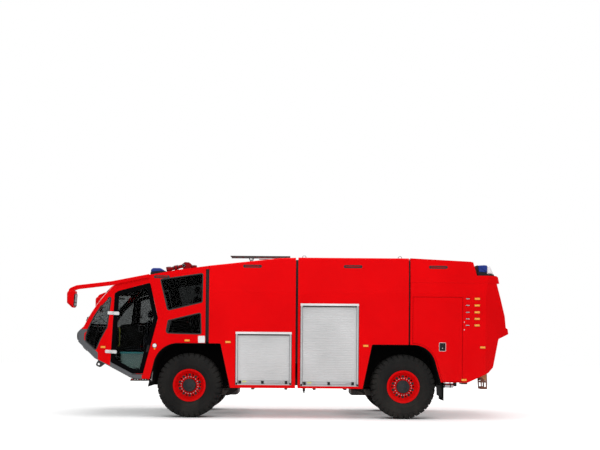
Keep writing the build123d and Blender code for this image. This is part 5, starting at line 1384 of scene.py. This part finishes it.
class TRUCK_OT_monitor(bpy.types.Operator):
    """Adds the handwheels, collars, bolts and hose of the roof monitor"""
    bl_idname = "truck.monitor"
    bl_label = "Roof monitor"

    def execute(self, context):
        x, pivot = MONITOR_X, 3.305
        mesh = Mesh()
        for y, sense in ((-0.075, -1), (0.075, 1)):
            centre = Vector((x - 0.06, y, pivot))
            mesh.turned([(0.04, 0.0), (0.04, 0.01), (0.034, 0.014), (0.0, 0.014)], centre, (0, sense, 0), BLACK,
                segments=32)
            for step in range(6):
                angle = math.pi * step / 3
                mesh.hexagon(centre + Vector((0.029 * math.cos(angle), sense * 0.012, 0.029 * math.sin(angle))),
                    (0, sense, 0), 0.005, 0.005, "zinc")
        motor = Vector((x + 0.15, 0, pivot - 0.02))
        for along in (-0.045, -0.02, 0.005, 0.03):
            mesh.turned([(0.0335, -0.004), (0.0385, -0.003), (0.0385, 0.003), (0.0335, 0.004)],
                motor + Vector((along, 0, 0)), ALONG, BLACK, segments=32)
        mesh.turned([(0.03, 0.058), (0.03, 0.068), (0.024, 0.074), (0.0, 0.074)], motor, ALONG, BLACK, segments=24)
        mesh.tube([(x + 0.2, 0.02, pivot - 0.045), (x + 0.19, 0.03, pivot - 0.085), (x + 0.15, 0.045, pivot - 0.105),
            (x + 0.09, 0.05, pivot - 0.1)], 0.008, "rubber", 10)
        mesh.turned([(0.0865, -0.012), (0.09, -0.008), (0.09, 0.008), (0.0865, 0.012)], (x, 0, 3.19), UP, BLACK)
        mesh.piece("monitor_swivel_fittings", "monitor_swivel", "black_metal")
        slope = math.radians(14.0)
        back = Vector((x - 0.06, 0.0, pivot))
        ahead = Vector((-math.cos(slope), 0.0, -math.sin(slope)))
        mesh = Mesh()
        for along, radius in ((0.15, 0.0575), (0.222, 0.0575), (0.25, 0.046), (0.385, 0.0675)):
            mesh.turned([(radius - 0.01, -0.007), (radius, -0.005), (radius, 0.005), (radius - 0.01, 0.007)],
                back + ahead * along, ahead, BLACK, segments=40)
        for step in range(6):
            angle = math.pi * step / 3
            out = Vector((math.sin(slope) * math.cos(angle), math.sin(angle), -math.cos(slope) * math.cos(angle)))
            mesh.tube([back + ahead * 0.3 + out * 0.05, back + ahead * 0.378 + out * 0.064], 0.004, BLACK, 6)
        mesh.piece("monitor_barrel_fittings", "monitor_barrel", "black_metal")
        return DONE


# Inside the cab

# Seats as rows of name, station of the front edge, width position, height of the floor and of the cushion
SEATS = [("front_left", F(-1.5), -0.64, 0.985, 1.48), ("front_right", F(-1.5), 0.64, 0.985, 1.48),
    ("rear_left", F(-0.48), -0.64, 1.616, 2.01), ("rear_right", F(-0.48), 0.64, 1.616, 2.01)]


def seat_stand(name, x, y, floor, top, stood_for):
    """Pedestal, pan, back shell, head rest posts, belt and its buckle."""
    mesh = Mesh()
    mesh.slab([(x + 0.12, floor + 0.001), (x + 0.095, top - 0.15), (x + 0.48, top - 0.15),
        (x + 0.455, floor + 0.001)], y - 0.19, y + 0.19, "dash", 0.012)
    mesh.slab([(x + 0.02, top - 0.15), (x + 0.015, top - 0.125), (x + 0.5, top - 0.15), (x + 0.5, top - 0.175)],
        y - 0.235, y + 0.235, "dash", 0.006)
    mesh.slab([(x + 0.52, top - 0.12), (x + 0.54, top + 0.02), (x + 0.592, top + 0.55), (x + 0.606, top + 0.548),
        (x + 0.56, top + 0.01), (x + 0.545, top - 0.13)], y - 0.225, y + 0.225, "dash", 0.005)
    for a in (-0.06, 0.06):
        mesh.tube([(x + 0.56, y + a, top + 0.54), (x + 0.566, y + a, top + 0.665)], 0.007, "steel", 8)
    mesh.slab([(x + 0.425, top + 0.5), (x + 0.415, top + 0.5), (x + 0.33, top + 0.01), (x + 0.34, top + 0.006)],
        y + 0.12, y + 0.165, "rubber", 0.001)
    mesh.box((x + 0.3, y + 0.232, top - 0.06), (x + 0.345, y + 0.258, top + 0.045), "lens_red", 0.006)
    for a in (-0.2, 0.2):
        mesh.box((x + 0.08, y + a - 0.02, floor + 0.001), (x + 0.5, y + a + 0.02, floor + 0.028), "steel", 0.004)
    mesh.piece("seat_stand_" + name, "chassis", "dash_plastic", stood_for)


class TRUCK_OT_seats(bpy.types.Operator):
    """Builds the four seats: pedestals, padded cushions, backs, head rests and belts"""
    bl_idname = "truck.seats"
    bl_label = "Seats"

    def execute(self, context):
        lean = Vector((0.12, 0.0, 0.99)).normalized()
        for index, (name, x, y, floor, top) in enumerate(SEATS):
            seat_stand(name, x, y, floor, top, ("seats",) if index == 0 else ())
            off = (-lean.z, 0, lean.x)
            pads = {
                "cushion": ((x + 0.24, y, top - 0.075), (-1, 0, 0.08), UP, 0.5, 0.47, 0.12),
                "back": ((x + 0.505, y, top + 0.255), lean, off, 0.49, 0.63, 0.11),
                "head_rest": ((x + 0.558, y, top + 0.705), lean, off, 0.255, 0.15, 0.09),
            }
            for part, (middle, up, out, *sizes) in pads.items():
                mesh = Mesh()
                mesh.cushion(plane(middle, ACROSS, up, out), *sizes, "seat_cloth",
                    seams=() if part == "head_rest" else (-0.55, 0.55))
                mesh.piece("seat_" + part + "_" + name, "chassis", "seat_cloth")
        return DONE


def dash_fittings(mesh):
    """Displays, switch rows, vents, a hood over the gauges, pedals and a control stick."""
    for y, width in ((-0.64, 0.3), (0.0, 0.34), (0.64, 0.3)):
        screen = plane((F(-1.985), y, 1.82), ACROSS, (-0.35, 0, 0.94), (0.94, 0, 0.35))
        mesh.slab(plate(width, 0.15, 0.012), -0.03, 0.012, BLACK, 0.004, screen)
        mesh.slab(plate(width - 0.03, 0.118, 0.006), 0.01, 0.0135, "lens_smoke" if y else "mirror_glass", 0.001, screen)
        for step in range(6):
            a = (step - 2.5) * 0.042
            mesh.box((F(-1.975), y + a - 0.014, 1.698), (F(-1.955), y + a + 0.014, 1.722), BLACK, 0.003)
    for y in (-1.05, -0.32, 0.32, 1.05):
        vent = plane((F(-2.06), y, 1.88), ACROSS, UP, ALONG)
        mesh.slab(plate(0.12, 0.06, 0.012), -0.04, 0.03, BLACK, 0.004, vent)
        for step in range(4):
            mesh.box((F(-2.032), y - 0.052, 1.86 + step * 0.013), (F(-2.026), y + 0.052, 1.864 + step * 0.013), BLACK,
                0.001)
    for y, width in ((-0.76, 0.06), (-0.64, 0.07), (-0.52, 0.06)):
        mesh.tube([(F(-1.9), y, 1.33), (F(-1.8), y, 1.27)], 0.01, "steel", 8)
        pad = plane((F(-1.792), y, 1.275), ACROSS, (0.35, 0, 0.9), (0.93, 0, -0.36))
        mesh.slab(plate(width, 0.1, 0.01), -0.004, 0.01, "rubber", 0.002, pad)
    mesh.tube([(F(-1.4), 0.12, 2.0), (F(-1.4), 0.12, 2.07), (F(-1.41), 0.12, 2.11)], 0.01, BLACK, 10)
    mesh.turned([(0.0, 0.035), (0.018, 0.03), (0.024, 0.01), (0.02, -0.02), (0.01, -0.03)], (F(-1.412), 0.12, 2.125),
        UP, BLACK, segments=20)


def cab_linings():
    """Head lining, visors, grab handles and a cover on the wheel housing's step."""
    mesh = Mesh()
    for x0, x1 in ((F(-1.4), F(-0.98)), (F(-0.9), F(0.2))):
        z0, z1 = (2.89 if x0 < F(-1.0) else 2.985) - 0.1, (2.97 if x0 < F(-1.0) else 3.115) - 0.085
        lining = [(x0, z0 - 0.012), (x0, z0 + 0.004), (x1, z1 + 0.004), (x1, z1 - 0.012)]
        mesh.slab(lining, -1.18, 1.18, "cab_lining", 0.004)
    for y in (-0.66, 0.66):
        mesh.slab([(F(-1.72), 2.7), (F(-1.712), 2.722), (F(-1.47), 2.745), (F(-1.47), 2.722)], y - 0.3, y + 0.3,
            "cab_lining", 0.006)
        mesh.tube([(F(-0.62), y * 1.9, 2.5), (F(-0.59), y * 1.84, 2.51), (F(-0.59), y * 1.84, 2.76),
            (F(-0.62), y * 1.9, 2.77)], 0.012, BLACK, 10)
    mesh.box((F(-0.8), -1.3, 1.62), (F(-0.56), 1.3, 1.63), "tread_pad", 0.002)
    mesh.box((F(-1.46), -1.24, 0.9855), (F(-1.44), -0.92, 1.03), "steel", 0.003)
    mesh.box((F(-1.46), 0.92, 0.9855), (F(-1.44), 1.24, 1.03), "steel", 0.003)
    mesh.piece("cab_linings", "chassis", "dash_plastic")


def door_trim(hand, sense):
    """The pale liner beside the step, and the rail, pull and handles that ride on the door."""
    mesh = Mesh()
    liner = rounded([(F(-1.475), 1.02, 0.02), (F(-1.485), 1.352, 0.015), (F(-1.0), 1.352, 0.015),
        (F(-1.03), 1.02, 0.02)])
    mesh.slab(liner, -1.24, -1.228, "step_liner", 0.002)
    band = rounded([(F(-1.487), 1.334, 0), (F(-1.49), 1.372, 0.01), (F(-0.992), 1.372, 0.01), (F(-1.0), 1.334, 0)])
    mesh.slab(band, -1.246, -1.222, "teal_band", 0.003)
    for x in (F(-1.4), F(-1.09)):
        mesh.box((x, -1.228, 0.9855), (x + 0.03, -1.19, 1.34), "steel", 0.003)
    mesh.piece("step_liner_" + hand, "chassis", "trim_grey", hand=-sense)
    mesh = Mesh()
    rail = [(F(-1.52), -1.418, 1.5), (F(-1.49), -1.4, 1.502), (F(-1.478), -1.392, 1.53), (F(-1.474), -1.388, 1.85),
        (F(-1.486), -1.396, 1.876), (F(-1.516), -1.414, 1.88)]
    mesh.tube(rail, 0.0125, "rail_yellow", 12)
    for z in (1.5, 1.88):
        mesh.box((F(-1.545), -1.43, z - 0.022), (F(-1.508), -1.408, z + 0.022), BLACK, 0.004)
    pull = plane((F(-0.868), -1.4835, 1.445), ALONG, (0.22, 0.02, 1), OUT)
    mesh.slab(plate(0.05, 0.15, 0.014), -0.004, 0.006, BLACK, 0.002, pull)
    mesh.slab(plate(0.026, 0.118, 0.01), 0.004, 0.022, BLACK, 0.005, pull)
    mesh.piece("door_fittings_" + hand, "door_" + hand, "trim_grey", hand=-sense)


class TRUCK_OT_cab_inside(bpy.types.Operator):
    """Builds the console, the dash fittings, the door rails, the pale step liners and the head lining"""
    bl_idname = "truck.cab_inside"
    bl_label = "Cab inside"

    def execute(self, context):
        mesh = Mesh()
        console = rounded([(F(-1.88), 1.25, 0.02), (F(-1.86), 1.56, 0.05), (F(-1.66), 1.96, 0.06),
            (F(-1.05), 2.02, 0.05), (F(-0.96), 1.64, 0.03), (F(-0.96), 0.99, 0.01), (F(-1.49), 0.99, 0.01)])
        mesh.slab(console, -0.27, 0.27, "dash", 0.018)
        for y, sense in ((-0.2705, -1), (0.2705, 1)):
            panel = plane((F(-1.17), y, 1.88), ALONG, UP, (0, sense, 0))
            mesh.slab(plate(0.178, 0.15, 0.018), -0.002, 0.006, "pale_metal", 0.002, panel)
            mesh.slab(plate(0.16, 0.132, 0.012), 0.004, 0.0085, "dash", 0.001, panel)
            for row in range(3):
                mesh.box((F(-1.235), y - 0.001 + sense * 0.008, 1.838 + row * 0.036),
                    (F(-1.15), y + sense * 0.012, 1.852 + row * 0.036), BLACK, 0.002)
        dash_fittings(mesh)
        mesh.piece("cab_console", "chassis", "dash_plastic")
        cab_linings()
        for hand, sense in SIDES:
            door_trim(hand, sense)
        return DONE


# Nose and tail


def even(start, end, steps):
    """Evenly spaced values from one end to the other."""
    return [start + (end - start) * step / steps for step in range(steps + 1)]


class TRUCK_OT_nose(bpy.types.Operator):
    """Adds the bumper's intake, seams, fog lamps and blank plate, and the wipers and bands of the windscreen"""
    bl_idname = "truck.nose"
    bl_label = "Nose fittings"

    def execute(self, context):
        find = skin_finder("front_bumper", "cab_front")
        glass = skin_finder("windscreen")
        mesh = Mesh()
        mesh.wrap(find, -1, [-0.733, -0.727], (1.26, 1.42, 1.572, 1.582, 1.79), 0.0008, 0.004, "rubber")
        place = seat_on(find, (AHEAD, -0.93, 1.43), ALONG)
        off = place(0, 0, 1) - place(0, 0, 0)
        mesh.turned([(0.066, -0.01), (0.066, 0.006), (0.06, 0.01), (0.054, 0.004)], place(0, 0, 0), off, BLACK)
        mesh.turned([(0.055, 0.002), (0.052, 0.008), (0.03, 0.013), (0.0, 0.014)], place(0, 0, 0), off, "lens_clear")

        def on_glass(y, z, proud):
            return glass((AHEAD, y, z), ALONG)[0] - Vector((proud, 0, 0))

        mesh.tube([on_glass(-0.2, 1.955, 0.012), on_glass(-0.3, 2.0, 0.04), on_glass(-0.72, 2.11, 0.034)], 0.009,
            BLACK, 8)
        mesh.tube([on_glass(y, 2.03 + (y + 1.08) * 0.21, 0.012) for y in even(-1.08, -0.38, 8)], 0.009, "rubber", 8)
        mesh.turned([(0.024, -0.03), (0.024, 0.012), (0.016, 0.022), (0.0, 0.024)], on_glass(-0.2, 1.955, 0.0),
            (-1, 0, 0.3), BLACK, segments=20)
        mesh.mirrored()
        mesh.wrap(find, -1, even(-0.56, 0.56, 12), (1.615, 1.765), 0.003, 0.004, BLACK)
        for z in (1.632, 1.672, 1.712, 1.752):
            mesh.wrap(find, -1, even(-0.54, 0.54, 12), (z - 0.006, z + 0.006), 0.01, 0.004, "trim_grey")
        mesh.wrap(find, -1, even(-1.3, 1.3, 20), (1.8425, 1.8475), 0.001, 0.006, "rubber")
        for low, high in ((1.945, 1.99), (2.58, 2.612)):
            mesh.wrap(glass, -1, even(-1.15, 1.15, 20), (low, high), 0.0015, 0.001, "rubber")
        place = seat_on(find, (AHEAD, 0.0, 1.44), ALONG)
        mesh.slab(plate(0.54, 0.13, 0.012), -0.002, 0.012, BLACK, 0.003, place)
        mesh.slab(plate(0.52, 0.11, 0.008), 0.011, 0.0145, "plate_white", 0.001, place)
        mesh.piece("nose_fittings", "chassis", "trim_grey")
        return DONE


# Side windows as rows of distance behind the front axle, height and corner radius
SIDE_WINDOWS = [
    [(-1.652, 2.545, 0.02), (-1.735, 1.88, 0.12), (-1.885, 1.625, 0.06), (-1.975, 1.413, 0.02), (-2.2, 1.597, 0.04),
     (-2.2, 1.695, 0.06), (-2.145, 1.852, 0), (-2.02, 2.098, 0), (-1.865, 2.325, 0)],
    [(-0.609, 2.894, 0.02), (0.265, 3.025, 0.02), (0.257, 2.434, 0.025), (-0.456, 2.258, 0.04)],
    [(-0.443, 2.032, 0.025), (0.226, 2.197, 0.025), (0.24, 1.763, 0.025), (-0.487, 1.78, 0.045)],
]


class TRUCK_OT_gaskets(bpy.types.Operator):
    """Lays the black rubber round the side windows and along the foot of the doors"""
    bl_idname = "truck.gaskets"
    bl_label = "Window rubbers"

    def execute(self, context):
        find = skin_finder("cab_left_side", "cab_front", "cab_windows")
        mesh = Mesh()
        for rows in SIDE_WINDOWS:
            points = []
            for p in inset(rounded([(F(a), b, radius) for a, b, radius in rows]), -0.006):
                hit = find((p.x, BESIDE, p.y), ACROSS)
                points.append((p.x, hit[0].y if hit and hit[0].y < -1.2 else points[-1][1], p.y))
            mesh.cord(points, 0.013, "rubber", flat=0.35)
        mesh.slab([(F(-1.2), 0.899), (F(-0.955), 0.899), (F(-0.955), 0.914), (F(-1.2), 0.913)], -1.4965, -1.49,
            "rubber")
        mesh.mirrored().piece("window_rubbers", "chassis", "rubber")
        return DONE


class TRUCK_OT_tail(bpy.types.Operator):
    """Adds the grille's surround, the blank plate, the reflectors and the catches of the tail"""
    bl_idname = "truck.tail"
    bl_label = "Tail fittings"

    def execute(self, context):
        find = skin_finder("rear_body")
        mesh = Mesh()
        mesh.wrap(find, 1, [-0.884, -0.856], (1.97, 2.18, 2.4, 2.552, 2.836), 0.006, 0.006, BLACK)
        place, off = tail_plane(0.0)
        for b in (-0.104, 0.104):
            mesh.turned([(0.0, -0.002), (0.04, -0.002), (0.04, 0.006), (0.034, 0.01), (0.0, 0.011)],
                place(-0.8, b, 0.0), off, "lens_red" if b > 0 else "lens_white", segments=32)
        for y in (-0.3, -0.62):
            mesh.slab(plate(0.06, 0.09, 0.01), -0.002, 0.01, BLACK, 0.003, moved(place, y, -0.24))
        mesh.mirrored()
        for low_z, high_z in ((1.965, 1.992), (2.808, 2.838)):
            mesh.wrap(find, 1, [-0.884, 0.884], (low_z, high_z), 0.0065, 0.006, BLACK)
        mesh.slab(plate(0.54, 0.132, 0.012), -0.002, 0.012, BLACK, 0.003, moved(place, 0, 0.06))
        mesh.slab(plate(0.52, 0.11, 0.008), 0.011, 0.0145, "plate_white", 0.001, moved(place, 0, 0.06))
        mesh.box((R(1.935), -0.06, 2.905), (R(2.015), 0.06, 2.95), BLACK, 0.008)
        mesh.turned([(0.018, 0.0), (0.018, 0.01), (0.014, 0.012), (0.0, 0.012)], (R(2.012), 0.0, 2.926), (1, 0, -0.3),
            "lens_clear", segments=20)
        mesh.piece("tail_fittings", "chassis", "trim_grey")
        return DONE


class TRUCK_OT_underside(bpy.types.Operator):
    """Adds the pipes ahead of the front wheels, the unions over the cab steps, the sill drains and a guard plate"""
    bl_idname = "truck.underside"
    bl_label = "Underside"

    def execute(self, context):
        mesh = Mesh()
        mesh.box((F(-1.225), -1.47, 0.786), (F(-0.88), -1.29, 0.8118), BLACK, 0.003)
        for step, x in enumerate(even(F(-1.19), F(-0.8), 7)):
            mesh.turned([(0.011, -0.01), (0.011, 0.008), (0.007, 0.01), (0.0, 0.01)], (x, -1.47, 0.797), OUT,
                ("lens_red", "zinc", "zinc")[step % 3], segments=14)
        for step in range(3):
            x, lift = F(-0.862) + 0.03 * step, 0.03 * step
            mesh.tube([(x, -1.3, 0.76), (x, -1.345, 0.8), (x + 0.01, -1.36, 0.85 + lift), (x + 0.014, -1.35, 0.94),
                (x + 0.014, -1.28, 0.99)], 0.012, (BLACK, "zinc", "steel")[step], 10)
            mesh.hexagon((x + 0.01, -1.36, 0.84 + lift), (0.2, 0, 1), 0.018, 0.03, "zinc")
        mesh.box((0.296, -1.42, 0.566), (0.35, -1.35, 0.64), BLACK, 0.008)
        mesh.tube([(0.323, -1.385, 0.57), (0.323, -1.385, 0.546), (0.335, -1.385, 0.53)], 0.013, BLACK, 10)
        mesh.slab([(R(0.7), 0.72), (R(0.833), 0.72), (R(0.833), 0.452), (R(0.8), 0.47), (R(0.712), 0.512)], -1.36,
            -1.345, BLACK, 0.002)
        mesh.box((R(1.1), -1.21, 0.69), (R(1.16), -1.09, 0.79), BLACK, 0.012)
        for x in (R(0.9), R(1.03)):
            mesh.turned([(0.047, -0.01), (0.05, -0.01), (0.05, 0.01), (0.047, 0.01)], (x, -1.15, 0.705), ALONG, BLACK,
                segments=24, closed=True)
        for x in (F(1.3), F(2.0), F(2.6), R(-1.25)):
            mesh.box((x, -1.43, 0.6), (x + 0.06, -0.42, 0.637), "chassis_black", 0.006)
        mesh.mirrored()
        mesh.box((F(0.42), -0.42, 0.43), (F(0.97), 0.42, 0.59), "chassis_black", 0.06)
        mesh.box((R(-1.05), -0.42, 0.44), (R(-0.56), 0.42, 0.59), "chassis_black", 0.04)
        mesh.piece("underside_fittings", "chassis", "chassis_metal")
        return DONE


# Inside the lockers and the engine bay


def rolled_hose(mesh, centre):
    """Flat hose rolled up, with its coupling."""
    for step in range(7):
        radius = 0.052 + 0.018 * step
        mesh.turned([(radius, -0.036), (radius + 0.015, -0.036), (radius + 0.018, 0.0), (radius + 0.015, 0.036),
            (radius, 0.036), (radius + 0.003, 0.0)], centre, ACROSS, "hose_canvas", segments=36, closed=True)
    mesh.turned([(0.02, -0.048), (0.044, -0.048), (0.046, -0.01), (0.046, 0.04), (0.02, 0.04)], centre, ACROSS,
        "zinc", segments=24, closed=True)


def branch_pipe(mesh, foot):
    """Upright branch pipe on its coupling."""
    mesh.turned([(0.0, 0.0), (0.044, 0.0), (0.044, 0.035), (0.036, 0.042), (0.03, 0.06), (0.03, 0.16), (0.036, 0.17),
        (0.036, 0.215), (0.024, 0.24), (0.022, 0.275), (0.0, 0.275)], foot, UP, "monitor_red", segments=24)
    for height in (0.018, 0.095, 0.192):
        mesh.turned([(0.03, -0.008), (0.047, -0.006), (0.047, 0.006), (0.03, 0.008)], foot + Vector((0, 0, height)),
            UP, BLACK, segments=24)


# Inner ends of the mid locker
MID_START, MID_END = F(2.332), R(-0.951)


class TRUCK_OT_locker_goods(bpy.types.Operator):
    """Fills the lockers with shelves, rolled hoses, branch pipes, cans and cases"""
    bl_idname = "truck.locker_goods"
    bl_label = "Locker goods"

    def execute(self, context):
        mesh = Mesh()
        for x0, x1, floor, shelves in ((F(0.975), F(2.144), 0.7, (1.26,)),
                (MID_START, MID_END, 0.683, (1.14, 1.56, 2.02))):
            for z in shelves:
                mesh.box((x0 + 0.002, -1.4, z - 0.022), (x1 - 0.002, -0.883, z), "frame_metal", 0.003)
                mesh.box((x0 + 0.004, -1.406, z - 0.024), (x1 - 0.004, -1.398, z + 0.022), "frame_metal", 0.003)
            for x in even(x0 + 0.24, x1 - 0.24, 2):
                rolled_hose(mesh, Vector((x, -1.28, floor + 0.182)))
            for x in even(x0 + 0.15, x1 - 0.15, 4):
                branch_pipe(mesh, Vector((x, -1.18, shelves[0] + 0.001)))
        for x in even(MID_START + 0.16, MID_END - 0.16, 3):
            mesh.box((x - 0.115, -1.36, 1.561), (x + 0.115, -1.06, 1.85), "can_blue", 0.024)
            mesh.turned([(0.03, -0.002), (0.03, 0.028), (0.026, 0.032), (0.0, 0.032)], (x, -1.3, 1.85), UP,
                "rail_yellow", segments=20)
            mesh.tube([(x - 0.06, -1.2, 1.85), (x - 0.06, -1.2, 1.885), (x + 0.06, -1.2, 1.885),
                (x + 0.06, -1.2, 1.85)], 0.011, "can_blue", 8)
        for x in (MID_START + 0.32, MID_END - 0.32):
            mesh.box((x - 0.23, -1.34, 2.021), (x + 0.23, -0.98, 2.17), BLACK, 0.02)
            mesh.tube([(x - 0.07, -1.342, 2.1), (x - 0.07, -1.365, 2.1), (x + 0.07, -1.365, 2.1),
                (x + 0.07, -1.342, 2.1)], 0.008, "steel", 8)
        mesh.mirrored().piece("locker_goods", "chassis", "shutter_metal")
        return DONE


class TRUCK_OT_engine(bpy.types.Operator):
    """Dresses the engine block with covers, ribs, manifolds, an air filter, hoses and a fan"""
    bl_idname = "truck.engine"
    bl_label = "Engine"

    def execute(self, context):
        low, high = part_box("engine_block")
        mesh = Mesh()
        for x in even(low.x + 0.13, high.x - 0.13, 5):
            mesh.box((x - 0.08, -0.33, high.z - 0.004), (x + 0.08, -0.13, high.z + 0.075), "engine_cast", 0.018)
            for y in (-0.3, -0.16):
                mesh.hexagon((x, y, high.z + 0.073), UP, 0.013, 0.012, "steel")
            mesh.tube([(x, -0.335, high.z - 0.06), (x, -0.45, high.z - 0.04), (x, -0.505, high.z - 0.12)], 0.034,
                "cast_black", 12)
        for x in even(low.x + 0.08, high.x - 0.08, 12):
            mesh.box((x - 0.01, -0.458, low.z + 0.12), (x + 0.01, -0.436, high.z - 0.22), "engine_cast", 0.004)
        mesh.tube([(low.x + 0.08, -0.51, high.z - 0.13), (high.x - 0.1, -0.51, high.z - 0.13)], 0.046, "cast_black", 16)
        mesh.tube([(high.x - 0.1, -0.51, high.z - 0.13), (high.x, -0.56, high.z - 0.06),
            (high.x + 0.03, -0.6, high.z + 0.12), (high.x + 0.01, -0.64, high.z + 0.28)], 0.052, "zinc", 16)
        mesh.turned([(0.0, 0.0), (0.15, 0.0), (0.165, 0.015), (0.165, 0.12), (0.17, 0.13), (0.165, 0.14),
            (0.165, 0.4), (0.15, 0.42), (0.06, 0.42), (0.055, 0.47), (0.0, 0.47)],
            (low.x + 0.06, -0.82, high.z + 0.18), ALONG, "cast_black", segments=40)
        mesh.tube([(low.x + 0.52, -0.82, high.z + 0.18), (low.x + 0.64, -0.8, high.z + 0.19),
            (low.x + 0.72, -0.64, high.z + 0.17), (low.x + 0.74, -0.23, high.z + 0.13)], 0.052, "rubber", 16)
        for share_of in (0.3, 0.62):
            mesh.box((low.x + share_of, -1.0, high.z - 0.02), (low.x + share_of + 0.03, -0.64, high.z + 0.02),
                "steel", 0.004)
        mesh.mirrored()
        fan = Vector((high.x + 0.06, 0.0, high.z - 0.18))
        mesh.turned([(0.0, -0.07), (0.08, -0.07), (0.08, 0.02), (0.05, 0.035), (0.0, 0.04)], fan, ALONG, "cast_black",
            segments=32)
        for step in range(9):
            angle = 2 * math.pi * step / 9
            blade = plane(fan, (0.35, -math.sin(angle), math.cos(angle)), (0, math.cos(angle), math.sin(angle)), ALONG)
            mesh.slab([(-0.035, 0.0), (0.035, 0.0), (0.06, 0.29), (-0.045, 0.3)], -0.003, 0.003, BLACK, 0.0,
                moved(blade, 0, 0.06))
        mesh.piece("engine_dressing", "chassis", "engine_iron")
        return DONE


OPERATORS = (TRUCK_OT_stage, TRUCK_OT_solids, TRUCK_OT_tyres, TRUCK_OT_hubs, TRUCK_OT_shutters, TRUCK_OT_side_lamps,
    TRUCK_OT_headlamps, TRUCK_OT_beacons, TRUCK_OT_side_fittings, TRUCK_OT_mirrors, TRUCK_OT_roof_gear,
    TRUCK_OT_monitor, TRUCK_OT_seats, TRUCK_OT_cab_inside, TRUCK_OT_nose, TRUCK_OT_gaskets, TRUCK_OT_tail,
    TRUCK_OT_underside, TRUCK_OT_locker_goods, TRUCK_OT_engine)


class TRUCK_PT_panel(bpy.types.Panel):
    """Lists the truck's pieces and their sizes and colours"""
    bl_idname = "TRUCK_PT_panel"
    bl_label = "Fire truck"
    bl_space_type = "VIEW_3D"
    bl_region_type = "UI"
    bl_category = "Fire truck"

    def draw(self, context):
        for name, group in SETTINGS.items():
            box = self.layout.box()
            for field in group.__annotations__:
                box.prop(getattr(context.scene, "truck_" + name), field)
        for operator in OPERATORS:
            self.layout.operator(operator.bl_idname)


SETTINGS = {"paint": PaintSettings, "tyres": TyreSettings, "shutters": ShutterSettings, "stage": StageSettings}


def register():
    """Adds the settings, operators and panel to Blender."""
    for name, group in SETTINGS.items():
        bpy.utils.register_class(group)
        setattr(bpy.types.Scene, "truck_" + name, PointerProperty(type=group))
    for made in (*OPERATORS, TRUCK_PT_panel):
        bpy.utils.register_class(made)


def unregister():
    """Takes them out again."""
    for made in (TRUCK_PT_panel, *reversed(OPERATORS)):
        bpy.utils.unregister_class(made)
    for name, group in SETTINGS.items():
        delattr(bpy.types.Scene, "truck_" + name)
        bpy.utils.unregister_class(group)


def main():
    """Registers the add-on and builds every piece in order."""
    register()
    for operator in OPERATORS:
        family, name = operator.bl_idname.split(".")
        getattr(getattr(bpy.ops, family), name)()


if __name__ == "__main__":
    main()
